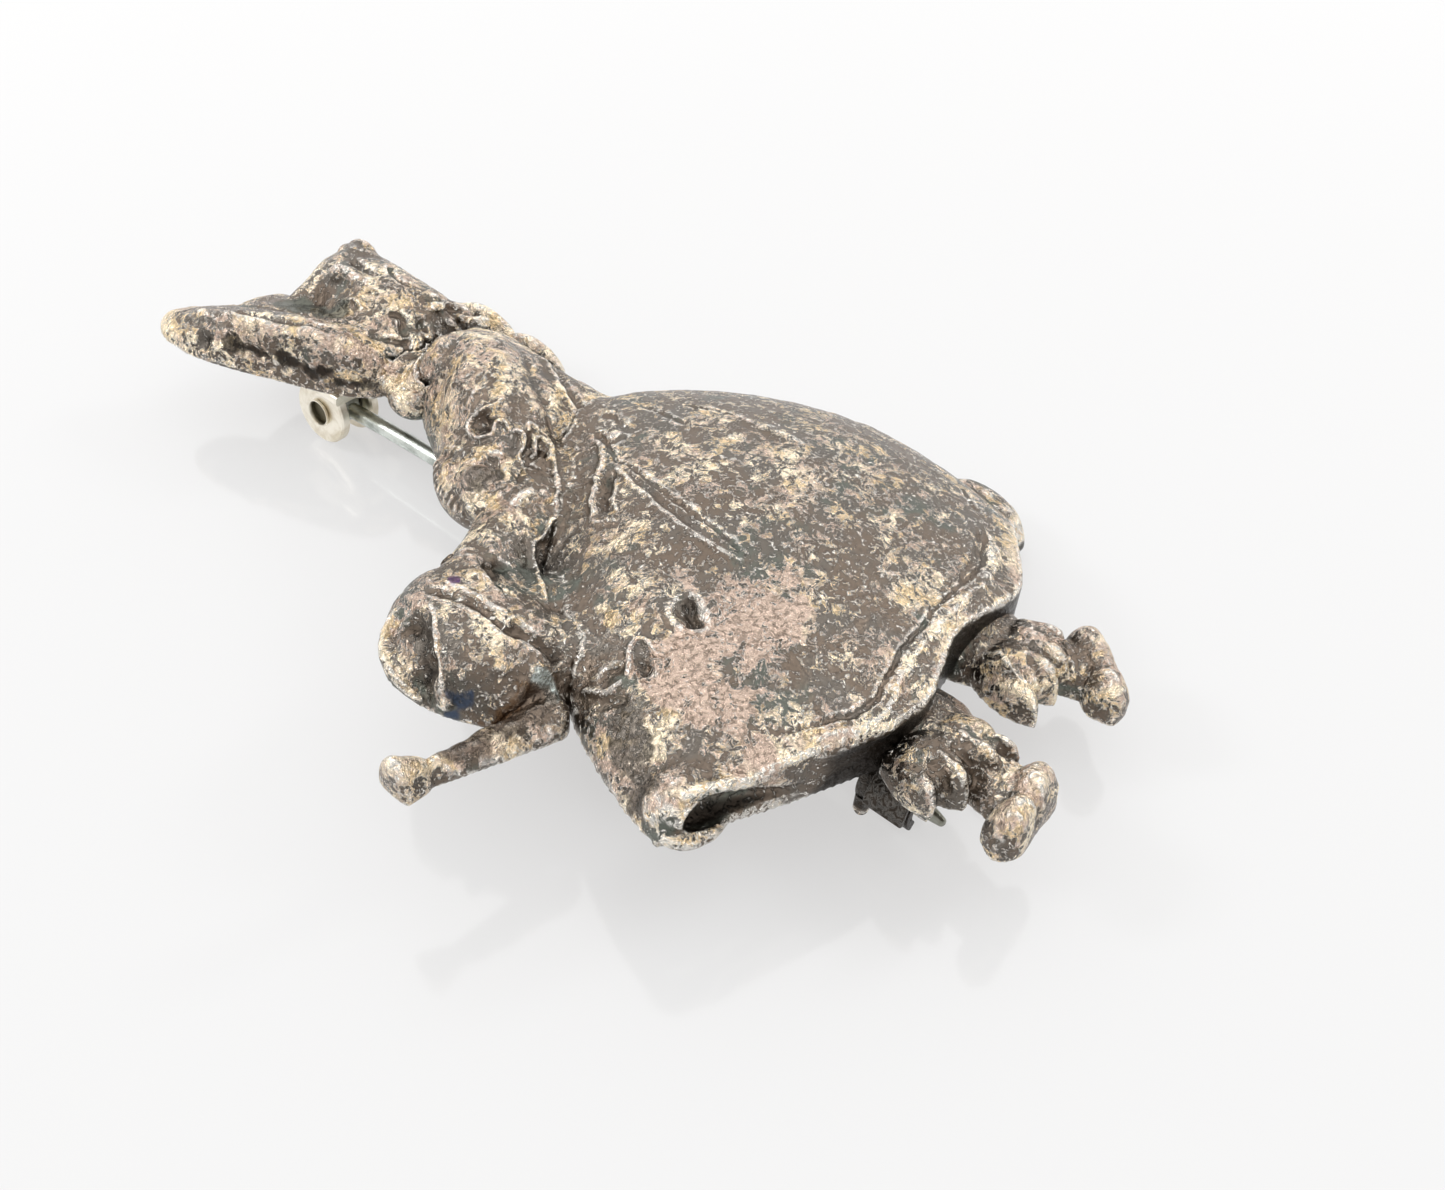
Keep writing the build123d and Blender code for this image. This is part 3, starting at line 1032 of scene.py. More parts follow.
@dataclass(frozen=True)
class WornSilver:
    """Bright soldered findings with a warm, lightly scratched face, and painted shade where the mesh notes
    it.
    """

    name: str
    pale: Colour
    dull: Colour
    # olive near-black: the painted shade in the rivet's bore and on the pin's point
    deep: Colour = (0.140, 0.125, 0.085)
    scratch: float = 0.012

    def material(self) -> bpy.types.Material:
        """Make the finish: pale metal, dull in patches, with fine scratches, and painted shade where the mesh
        notes shade.

        Returns:
            The material.
        """
        graph = Graph(self.name)
        film = graph.step(graph.grain(1.4, 4.0, 0.6, 0.4), 0.42, 0.66)
        fine = graph.grain(0.16, 3.0, 0.6, 1.2)
        graph.set(
            # the shade note lays painted shade over the pale and dull metal
            Base_Color=graph.blend(graph.noted("shade"), graph.blend(film, self.pale, self.dull), self.deep),
            Metallic=1.0,
            Roughness=graph.between(fine, 0.24, 0.42),
            Normal=graph.bump(fine, self.scratch),
        )
        return graph.material


@dataclass(frozen=True)
class PaleTable:
    """Plain glossy white board, lit a little from below."""

    colour: Colour = (0.222, 0.230, 0.236)
    glow: float = 0.565

    def material(self) -> bpy.types.Material:
        """Make the finish.

        Returns:
            The material.
        """
        graph = Graph("pale_table")
        graph.set(
            Base_Color=self.colour,
            Roughness=0.10,
            Specular_IOR_Level=0.5,
            Emission_Color=(1.0, 0.985, 0.975),
            Emission_Strength=self.glow,
        )
        return graph.material


# The casting's parts


@dataclass
class Relief:
    """A part of the casting: its masses, the strokes of its relief, and how it is skinned."""

    name: str = "relief"
    cell: float = 0.11
    softening: int = 5
    lumpy: float = 0.08
    pebbly: float = 0.05
    lump_size: float = 1.9
    fold_size: float = 0.85
    pebble_size: float = 0.5
    file_depth: float = 0.05
    file_pitch: float = 0.42
    # gloom: how strongly recesses are darkened, partly as patina and partly as painted shade
    gloom: float = 1.0
    rubbed: float = 0.0
    hollowed: bool = True

    def masses(self) -> list[np.ndarray]:
        """Return the closed grids that the part is fused from."""
        raise NotImplementedError

    def openings(self) -> list[np.ndarray]:
        """Return the closed grids of what is cut out of the part's front."""
        return []

    def strokes(self) -> list[Stroke]:
        """Return the part's strokes."""
        return []

    def shaped(self, points: np.ndarray) -> np.ndarray:
        """Return a further rise of the part's own at each point."""
        return np.zeros(len(points))

    def calm(self, points: np.ndarray) -> np.ndarray:
        """Return how much of the casting's roughness each point keeps, from 0 to 1."""
        return np.ones(len(points))

    def shaded(self, points: np.ndarray, facing: np.ndarray) -> np.ndarray:
        """Return the painted shade under the part's own edge at each point, from 0 to 1."""
        return np.zeros(len(points))

    def cast(self, cutter: bpy.types.Object) -> Skin:
        """Fuse the masses and take out the openings and the hollow back.

        Args:
            cutter: The hollows.

        Returns:
            The part's skin.
        """
        piece = fused(self.name, self.masses(), self.cell)
        if self.hollowed:
            piece = carved(piece, cutter, self.cell)
        if self.openings():
            tool = fused("opening", self.openings(), self.cell)
            piece = carved(piece, tool, self.cell)
            bpy.data.objects.remove(tool)
        skin = Skin.of(piece)
        skin.even(self.softening)
        return skin

    def chase(self, skin: Skin) -> None:
        """Raise the strokes and the casting's roughness on the skin.

        Each point moves the way that it faces, by the front's strokes + lumpy x coarse grain +
        pebbly x (fine grain + folds), where folds are 1 - 2 x |grain|.

        Args:
            skin: The part's skin.
        """
        facing = skin.normals()
        front = eased(facing[:, 2], -0.15, 0.25) * eased(skin.points[:, 2], -0.1, 0.25)
        rough = self.calm(skin.points)
        rise = front * (lifted(self.strokes(), skin.points) + self.shaped(skin.points))
        rough *= 0.25 + 0.75 * front
        rise += rough * self.lumpy * layered(skin.points, self.lump_size, 11, 2)
        folded = 1 - 2 * np.abs(layered(skin.points + 0.3 * rise[:, None], self.fold_size, 23, 2))
        rise += rough * self.pebbly * (layered(skin.points, self.pebble_size, 31, 2) + 0.6 * folded)
        skin.points += rise[:, None] * facing
        skin.even(1)


SKIRT = Form(0.0, 0.0, 0.0, 26.0, 31.0, 5.4)
BODICE = Form(-1.5, 10.5, 0.0, 11.7, 6.6, 3.4)
CROWN = Form(-3.0, 21.62, 0.0, 11.12, 9.4, 4.0)
BRIM = Form(-10.2, 23.9, -20.0, 14.34, 4.2, 3.3)
SLEEVE = Form(-1.2, 9.14, 33.0, 13.0, 6.6, 5.2)
FOREARM = Form(-6.8, -2.47, 72.0, 8.2, 4.2, 3.8)
CAN = Form(-16.8, -3.25, 0.0, 10.4, 7.8, 4.0)
SPOUT = Form(-16.8, -13.9, 102.8, 7.7, 2.2, 1.9)
WALL = 1.2
SLEEVE_EDGE = (
    (-5.1, -0.9),
    (-6.1, -2.5),
    (-8.1, -4.7),
    (-10.1, -5.8),
    (-11.3, -6.1),
    (-12.8, -8.1),
    (-13.8, -9.6),
)


def placed(carrier: Form, along: float, across: float, heading: float, size: Sequence[float]) -> Form:
    """Return a form that starts at a share of another's length and width."""
    start = stand(carrier, np.array(along * carrier.length), np.array(across * carrier.width), np.array(0.0))
    return Form(start[0], start[1], heading, *size)


LUMP_SECTIONS = (
    Section(0.0, -0.32, 0.32, 0, 0.70),
    Section(0.5, -0.50, 0.50, 0, 1.00),
    Section(1.0, -0.30, 0.30, 0, 0.60),
)
CROWN_SECTIONS = (
    Section(0.00, 0.08, 0.46, 0, 0.34),
    Section(0.12, -0.04, 0.50, 0, 0.60),
    Section(0.42, -0.24, 0.50, 0, 0.92),
    Section(0.70, -0.34, 0.48, 0, 1.00),
    Section(0.90, -0.32, 0.49, 0, 0.78),
    Section(1.00, -0.22, 0.42, 0, 0.50),
)
BODICE_SECTIONS = (
    Section(0.00, -0.50, 0.42, 0, 0.76),
    Section(0.38, -0.46, 0.50, 0, 1.00),
    Section(0.72, -0.46, 0.48, 0, 0.94),
    Section(1.00, -0.35, 0.60, 0, 0.85),
)
SLEEVE_SECTIONS = (
    Section(0.00, -0.24, 0.26, 0, 0.50),
    Section(0.20, -0.42, 0.46, 0, 0.88),
    Section(0.50, -0.46, 0.54, 0, 1.00),
    Section(0.80, -0.38, 0.50, 0, 0.88),
    Section(1.00, -0.24, 0.38, 0, 0.65),
)
SKIRT_SECTIONS = (
    Section(0.000, -0.130, 0.075, 0, 0.56),
    Section(0.115, -0.245, 0.207, 0, 0.72),
    Section(0.250, -0.355, 0.293, 0, 0.86),
    Section(0.440, -0.485, 0.348, 0, 1.00),
    Section(0.635, -0.578, 0.352, 0, 0.98),
    Section(0.790, -0.622, 0.336, 0, 0.85),
    Section(1.060, -0.645, 0.275, 0, 0.48),
)
HEM = (
    (-0.640, 0.845),
    (-0.560, 0.880),
    (-0.420, 0.945),
    (-0.225, 1.015),
    (-0.130, 0.985),
    (-0.040, 0.950),
    (0.120, 0.955),
    (0.220, 0.880),
    (0.320, 0.780),
    (0.400, 0.650),
)


@dataclass
class Bonnet(Relief):
    """Sunbonnet: crown, rolled brim, bow loops behind and the two ties."""

    name: str = "bonnet"
    cell: float = 0.095
    lumpy: float = 0.09
    pebbly: float = 0.045
    gloom: float = 0.65
    rubbed: float = 0.3
    loop: tuple[float, float, float] = (4.2, 2.0, 3.3)
    tail: tuple[float, float, float] = (4.9, 1.6, 1.8)

    def masses(self) -> list[np.ndarray]:
        """Shape crown, brim, loops, ties and the lumps between them.

        Returns:
            Closed grids.
        """
        brim_sections = (
            Section(0.00, -0.26, 0.10, 0, 0.22),
            Section(0.12, -0.50, 0.30, 0, 0.42),
            Section(0.32, -0.60, 0.36, 0, 0.72),
            Section(0.60, -0.54, 0.38, 0, 1.00),
            Section(0.88, -0.40, 0.32, 0, 0.90),
            Section(1.00, -0.24, 0.22, 0, 0.50),
        )
        saddle_sections = (
            Section(0.0, -0.42, 0.42, 0, 0.90),
            Section(0.5, -0.46, 0.46, 0, 1.00),
            Section(1.0, -0.40, 0.30, 0, 0.80),
        )
        forms = (
            placed(CROWN, 0.05, 0.36, 4, self.loop),
            placed(CROWN, 0.12, 0.16, -4, (0.75 * self.loop[0], *self.loop[1:])),
            placed(CROWN, 0.70, 0.48, -18, self.tail),
            placed(BODICE, 0.08, 0.50, -10, (0.95 * self.tail[0], *self.tail[1:])),
        )
        lumps = (
            Lump(-0.6, 18.0, 2.6, 1.0, 2.2, 0.8, 4),
            Lump(-3.1, 16.3, 3.3, 0.6, 1.8, 0.6, -4),
            Lump(-2.4, 11.2, 2.2, 0.6, 0.7, 0.5),
            Lump(-1.2, 13.2, 3.1, 0.9, 2.0, 0.5, -12),
            Lump(0.6, 11.6, 2.0, 0.55, 2.2, 0.5, -16),
            Lump(-4.6, 11.8, 2.0, 1.0, 1.1, 0.7),
            Lump(-3.4, 11.0, 2.0, 0.7, 0.6, 0.6),
            Lump(-6.0, 10.9, 0.9, 0.5, 0.6, 0.5),
            Lump(-4.3, 9.9, 0.7, 2.1, 1.3, 1.2),
            Lump(-5.4, 8.6, 0.7, 1.5, 1.5, 1.2),
        )
        swoop = (
            (-1.4, 18.7, 2.1),
            (-2.8, 18.5, 1.85),
            (-4.2, 18.3, 1.35),
            (-5.8, 18.3, 0.9),
            (-7.4, 18.8, 0.6),
            (-8.8, 19.8, 0.5),
        )
        return [
            dome(CROWN, CROWN_SECTIONS),
            tube(smooth_line(swoop), 1.2),
            dome(BRIM, brim_sections, rounded=0.06),
            dome(Form(-7.2, 20.9, -16.0, 10.2, 6.2, 2.05), saddle_sections, rounded=0.16),
            *(dome(form, LUMP_SECTIONS, rounded=0.35) for form in forms),
            *(ball(lump) for lump in lumps),
        ]

    def strokes(self) -> list[Stroke]:
        """Draw the rolled edge and its trough, the ribbons' ridges and the pits.

        Returns:
            The strokes.
        """
        rolled_edge = ((-10.7, 22.4), (-9.8, 19.9), (-9.2, 17.4), (-8.5, 15.1), (-7.6, 12.9), (-6.4, 11.0))
        outer_edge = ((-11.2, 20.4), (-10.9, 18.4), (-10.1, 16.2), (-9.2, 14.2), (-8.4, 12.6), (-7.3, 11.0))
        return [
            Stroke(rolled_edge, 0.42, 0.28),
            Stroke(((-9.2, 19.2), (-8.7, 17.4), (-7.8, 15.2), (-6.8, 12.8)), 0.26, -0.22),
            Stroke(BRIM_TROUGH, 0.30, -0.18),
            Stroke(outer_edge, 0.22, 0.16),
            Stroke(((-11.1, 19.5, 1.1),), 0.50, -0.55),
            Stroke(((-9.9, 17.2, 1.3), (-9.6, 16.6, 1.5)), 0.34, -0.14),
            Stroke(((-8.8, 14.7, 1.4),), 0.34, -0.14),
            Stroke(((-9.6, 15.8, 1.6), (-9.3, 15.3, 1.2)), 0.22, 0.22),
            Stroke(((-8.4, 13.4, 1.5), (-8.3, 13.0, 1.0)), 0.22, 0.22),
            Stroke(((-1.6, 18.3), (-2.2, 16.2), (-2.2, 14.9)), 0.26, -0.42),
            Stroke(((-3.2, 17.9), (-3.3, 15.9), (-3.0, 14.6)), 0.28, 0.20),
            Stroke(((-3.5, 14.2), (-3.4, 14.0)), 0.20, -0.24),
            Stroke(((-2.5, 11.2), (-2.4, 11.0)), 0.20, -0.30),
            Stroke(((-0.6, 15.8), (-1.5, 14.6), (-1.4, 13.2)), 0.20, -0.32),
            Stroke(((-4.9, 15.7), (-5.2, 14.9), (-4.9, 14.2)), 0.9, -0.10),
            Stroke(((-4.4, 15.9), (-4.2, 14.8), (-4.5, 13.8)), 0.16, 0.14),
            Stroke(((-5.9, 15.6), (-5.8, 14.4), (-5.2, 13.4)), 0.16, 0.12),
            Stroke(((-1.6, 12.4), (0.4, 11.4), (2.0, 10.2)), 0.26, -0.34),
            Stroke(((-1.2, 11.4), (0.6, 10.4), (2.2, 9.6)), 0.24, 0.22),
            Stroke(((-3.7, 12.8), (-3.3, 12.0), (-3.7, 11.2)), 0.22, -0.26),
            Stroke(((-5.4, 12.4), (-4.6, 11.4), (-3.6, 10.8)), 0.24, -0.26),
        ]


@dataclass
class Bodice(Relief):
    """Bodice and the full sleeve."""

    name: str = "bodice"
    cell: float = 0.10
    lumpy: float = 0.10
    pebbly: float = 0.05
    gloom: float = 0.5
    rubbed: float = 0.65

    def masses(self) -> list[np.ndarray]:
        """Shape bodice, sleeve and the sleeve's gathers.

        Returns:
            Closed grids.
        """
        lumps = (
            Lump(-3.2, 6.9, 2.9, 2.6, 2.0, 1.75, 20),
            Lump(-2.6, 2.6, 2.6, 1.8, 4.2, 1.5, 26),
            Lump(-9.0, -1.2, 1.8, 2.0, 2.7, 1.8, 20),
            Lump(-6.4, -3.2, 1.4, 3.0, 2.4, 1.7, 20),
            Lump(-9.3, -3.9, 2.4, 1.6, 0.8, 1.0, 10),
            Lump(-9.1, 0.4, 1.0, 1.7, 2.9, 1.7, 20),
            Lump(-9.9, -1.0, 2.75, 0.85, 0.95, 0.85),
            Lump(-5.0, 8.2, 1.3, 1.3, 1.2, 1.4),
        )
        return [dome(BODICE, BODICE_SECTIONS), dome(SLEEVE, SLEEVE_SECTIONS), *(ball(lump) for lump in lumps)]

    def strokes(self) -> list[Stroke]:
        """Draw the gathers, the rimmed pits and the torn ridges of the sleeve.

        Returns:
            The strokes.
        """
        pit_rim = ((-5.9, 1.5), (-6.5, 1.2), (-7.0, 1.8), (-7.7, 2.1), (-8.0, 1.4), (-8.0, 0.6), (-7.6, 0.3))
        torn_ridge = ((-7.4, -1.8), (-6.8, -1.7), (-6.3, -1.2), (-5.8, -1.3), (-5.9, -2.0), (-6.6, -2.6))
        bodice_seam = ((-0.5, 4.4), (-0.9, 3.2), (-1.8, 1.5), (-2.4, -0.1), (-3.2, -2.0), (-4.3, -3.8))
        return [
            Stroke(((-7.4, 1.4), (-7.4, 0.9)), 0.36, -0.50),
            Stroke(pit_rim, 0.12, 0.26),
            Stroke(((-7.6, 0.3), (-7.2, 0.6), (-6.9, 0.2), (-7.2, -0.4)), 0.12, 0.24),
            Stroke(((-7.2, -0.4), (-6.7, -0.7), (-7.1, -1.2), (-7.7, -1.5), (-7.9, -2.2)), 0.13, 0.26),
            Stroke(torn_ridge, 0.12, 0.26),
            Stroke(((-6.4, -0.9), (-6.0, -0.5), (-5.6, -0.9)), 0.11, 0.22),
            Stroke(((-6.7, -1.3), (-6.5, -1.2)), 0.20, -0.30),
            Stroke(((-6.3, -1.9), (-6.2, -2.1)), 0.20, -0.26),
            Stroke(((-7.1, -0.1),), 0.18, -0.24),
            Stroke(((-8.8, 2.0), (-8.6, 0.4), (-8.3, -1.0)), 0.30, 0.16),
            Stroke(((-8.9, -0.4), (-9.0, -0.9)), 0.46, -0.30),
            Stroke(((-8.4, -2.6), (-7.8, -3.4)), 0.34, -0.26),
            Stroke(((-8.8, -3.0), (-8.0, -3.9)), 0.26, 0.20),
            Stroke(((-9.9, 0.1), (-9.0, -0.5), (-8.9, -1.4), (-9.6, -2.1)), 0.22, -0.24),
            Stroke(((-6.9, -2.9), (-7.9, -2.7), (-8.8, -2.7)), 0.36, -0.26),
            Stroke(((-10.5, -3.9), (-9.7, -3.6), (-8.7, -3.7)), 0.30, 0.26),
            Stroke(bodice_seam, 0.18, 0.26),
            Stroke(SLEEVE_EDGE, 0.13, 0.26),
            Stroke(((-0.3, 3.9), (-0.7, 2.2), (-1.5, 0.5), (-2.3, -1.4)), 0.26, -0.26),
            Stroke(((-5.2, 5.4), (-6.2, 3.8), (-6.6, 2.6)), 0.5, 0.12),
            Stroke(((-3.4, 4.6), (-4.4, 2.0), (-4.9, -0.4)), 0.8, 0.10),
            Stroke(((-8.4, 4.0), (-8.9, 2.8), (-9.2, 1.6)), 0.30, -0.16),
            Stroke(((0.4, 6.9), (1.0, 4.6), (0.6, 2.2)), 0.32, -0.24),
        ]

    def shaped(self, points: np.ndarray) -> np.ndarray:
        """Raise the file's marks on the sleeve's outer edge: depth x sin(way along the edge).

        Args:
            points: Points of the casting.

        Returns:
            The rise at each point.
        """
        run = 0.84 * points[:, 1] + 0.54 * points[:, 0]
        low = eased(-points[:, 2], -2.1, -1.2) * eased(-points[:, 0], 7.4, 8.2)
        return self.file_depth * low * np.sin(run * 2 * math.pi / self.file_pitch)


@dataclass
class Skirt(Relief):
    """Bell of the skirt with its folds, hem, rolled corner and torn dents, and the bow behind."""

    name: str = "skirt"
    cell: float = 0.15
    softening: int = 3
    lumpy: float = 0.05
    pebbly: float = 0.03
    file_pitch: float = 0.44
    bow: tuple[float, float, float] = (6.2, 3.5, 1.9)
    hem_bead: float = 0.34

    def masses(self) -> list[np.ndarray]:
        """Shape the bell, the beaded hem, the swollen corner with its lips, and the bow.

        Returns:
            Closed grids.
        """
        bow_sections = (
            Section(0.00, -0.30, 0.30, -0.35, 0.15),
            Section(0.30, -0.50, 0.50, -0.75, 0.45),
            Section(0.70, -0.50, 0.50, -1.00, 0.45),
            Section(1.00, -0.30, 0.30, -0.60, 0.15),
        )
        bead = (
            (-16.2, -23.1, 2.2),
            (-13.6, -24.0, 2.45),
            (-10.0, -25.5, 2.55),
            (-7.2, -26.0, 2.6),
            (-4.4, -25.0, 2.95),
            (-1.2, -24.2, 2.9),
            (1.8, -24.5, 2.6),
            (4.8, -23.6, 2.4),
            (7.0, -22.4, 1.9),
            (9.3, -20.6, 1.1),
        )
        lip = (
            (-19.0, -21.2, 1.1),
            (-18.4, -21.9, 2.1),
            (-17.4, -22.6, 2.6),
            (-16.0, -23.3, 2.5),
            (-14.0, -24.0, 2.2),
        )
        rim = (
            (-19.0, -21.4, 1.1),
            (-19.3, -22.2, 0.6),
            (-18.8, -22.9, 0.34),
            (-17.9, -23.3, 0.34),
            (-17.0, -23.3, 0.34),
            (-16.2, -23.1, 0.30),
        )
        shelf = ((-18.2, -22.3, 0.34), (-16.6, -22.6, 0.34), (-14.8, -23.0, 0.30), (-13.0, -23.7, 0.26))
        return [
            bell(SKIRT, SKIRT_SECTIONS, HEM),
            tube(smooth_line(bead), self.hem_bead),
            ball(Lump(-17.2, -21.5, 1.15, 2.3, 1.7, 1.6, 0)),
            ball(Lump(-15.0, -22.4, 1.1, 2.4, 1.5, 1.5, 20)),
            tube(smooth_line(lip), 0.30),
            tube(smooth_line(rim), 0.30),
            tube(smooth_line(shelf), 0.62, 0.5),
            dome(placed(SKIRT, 0.575, 0.370, 6, self.bow), bow_sections, rounded=0.3),
        ]

    def openings(self) -> list[np.ndarray]:
        """Shape the open roll under the hem: a tube that narrows from the corner.

        Returns:
            Closed grids.
        """
        roll = (
            (-18.0, -22.6, 1.25),
            (-17.0, -23.0, 1.40),
            (-15.6, -23.6, 1.25),
            (-13.8, -24.4, 1.00),
            (-11.4, -25.5, 0.90),
            (-9.0, -26.3, 0.80),
        )
        foot = ((-16.6, -24.3, 0.1), (-15.2, -24.45, 0.1), (-13.6, -25.1, 0.05), (-12.0, -25.7, 0.0))
        path = smooth_line(roll)
        radii = (0.7, 0.95, 0.75, 0.38, 0.22, 0.14)
        radius = np.interp(np.linspace(0, 1, len(path)), np.linspace(0, 1, len(radii)), radii)
        return [tube(path, radius), tube(smooth_line(foot), 0.62)]

    def strokes(self) -> list[Stroke]:
        """Draw the waist's folds, the slit, the double line above the hem and the torn dents.

        Returns:
            The strokes.
        """
        border = (
            (6.3, -20.6),
            (5.1, -21.8),
            (2.9, -22.8),
            (0.1, -23.1),
            (-2.3, -23.4),
            (-4.6, -23.8),
            (-6.6, -24.4),
            (-8.4, -24.8),
            (-9.9, -24.6),
            (-11.8, -23.7),
            (-13.4, -22.7),
        )
        band = tuple((x - 0.12, y - 0.62) for x, y in border)
        slit = ((-3.4, -3.2), (-4.3, -4.8), (-5.2, -8.0), (-5.9, -10.7), (-6.4, -13.4), (-6.7, -15.8))
        torn_rim = ((-15.2, -16.0), (-14.6, -15.6), (-13.8, -14.9), (-13.4, -15.3), (-13.6, -16.1))
        return [
            Stroke(((-0.3, -2.9), (-0.2, -4.7), (-0.3, -6.6)), 0.12, 0.15, Mark.CHANNEL),
            Stroke(((1.4, -4.9), (1.9, -6.0), (2.2, -7.4)), 0.12, 0.15, Mark.CHANNEL),
            Stroke(((2.2, -7.2), (2.1, -8.8), (2.4, -10.6), (2.3, -12.6)), 0.34, 0.14),
            Stroke(slit, 0.11, 0.15, Mark.CHANNEL),
            Stroke(((-5.0, -5.4), (-6.0, -8.2), (-6.8, -11.0), (-7.2, -13.6), (-7.1, -16.0)), 0.14, 0.17),
            Stroke(((-5.2, -7.0), (-6.2, -10.0), (-6.7, -12.6)), 0.34, -0.20),
            Stroke(((-4.6, -4.7), (-6.6, -6.0), (-8.6, -7.5)), 0.12, 0.18),
            Stroke(((-5.4, -5.7), (-6.8, -6.8), (-8.2, -7.9)), 0.24, -0.34),
            Stroke(((-8.6, -7.5), (-8.5, -8.2), (-8.2, -8.8)), 0.12, 0.18),
            Stroke(((-5.8, -6.4), (-6.8, -7.4), (-7.9, -8.4)), 0.10, 0.12),
            Stroke(((-3.6, -3.0), (-4.6, -4.4), (-6.2, -5.6), (-8.4, -7.4)), 0.15, 0.18),
            Stroke(((-3.2, -2.6), (-3.6, -3.8), (-2.8, -4.4)), 0.20, -0.24),
            Stroke(((-1.6, -1.6), (-1.9, -3.0), (-2.6, -4.4)), 0.2, -0.16),
            Stroke(SLEEVE_EDGE, 0.13, 0.26),
            Stroke(((-11.8, -7.2), (-12.6, -8.6), (-14.0, -10.4), (-15.2, -11.6)), 0.24, 0.18),
            Stroke(border, 0.12, 0.17, Mark.CHANNEL),
            Stroke(band, 0.30, 0.13),
            Stroke(((5.6, -21.2), (3.6, -22.3), (0.9, -22.8)), 0.28, -0.14),
            Stroke(((8.3, -18.0), (7.2, -19.9)), 0.14, -0.20),
            Stroke(((-2.2, -19.8), (-2.0, -20.5), (-1.4, -21.0)), 0.12, 0.10),
            Stroke(((-10.6, -15.0), (-11.0, -15.9), (-11.5, -16.8)), 0.42, -0.60),
            Stroke(((-11.2, -14.6), (-11.8, -15.6), (-12.1, -16.4)), 0.15, 0.18),
            Stroke(((-16.1, -14.2), (-16.0, -15.0), (-15.8, -15.6), (-15.2, -16.0)), 0.13, 0.28),
            Stroke(torn_rim, 0.13, 0.30),
            Stroke(((-14.2, -15.8), (-14.4, -16.4)), 0.32, -0.34),
            Stroke(((-15.4, -15.0), (-15.0, -15.2)), 0.26, -0.26),
            Stroke(((-16.4, -15.8), (-16.0, -16.4)), 0.26, -0.22),
            Stroke(((-12.4, -9.2), (-13.6, -11.6), (-15.6, -13.4)), 0.6, 0.16),
        ]

    def shaped(self, points: np.ndarray) -> np.ndarray:
        """Raise the file's marks on a stretch of the hem's low wall: depth x sin(way across).

        Args:
            points: Points of the casting.

        Returns:
            The rise at each point.
        """
        under = eased(-points[:, 2], -1.3, -0.8) * eased(-points[:, 1], 22.0, 23.0)
        under *= eased(points[:, 0], -12.5, -11.0) * eased(-points[:, 0], 3.0, 4.5)
        return self.file_depth * under * np.sin(points[:, 0] * 2 * math.pi / self.file_pitch)

    def shaded(self, points: np.ndarray, facing: np.ndarray) -> np.ndarray:
        """Return the painted shade on the hem's low, downward-facing wall, away from the open roll."""
        low = eased(-facing[:, 2], -0.45, -0.10) * eased(-points[:, 1], 19.0, 21.0)
        return low * eased(points[:, 0], -13.0, -11.0)

    def calm(self, points: np.ndarray) -> np.ndarray:
        """Return the roughness left on the worn front of the skirt."""
        return 1 - 0.45 * self.wear(points)

    @staticmethod
    def wear(points: np.ndarray) -> np.ndarray:
        """Tell how worn each point is: a ragged oval patch low on the skirt's can side.

        Args:
            points: Points of the casting.

        Returns:
            One value a point, from 0 to 1.
        """
        centre = np.array([-10.8, -19.4])
        half_sizes = (4.6, 3.9)
        offset = (points[:, :2] - centre) / half_sizes
        edge = 1.1 * layered(points * (1, 1, 0), 2.4, 77, 4)
        return eased(1.05 - np.hypot(*offset.T) + edge, 0.0, 0.5)


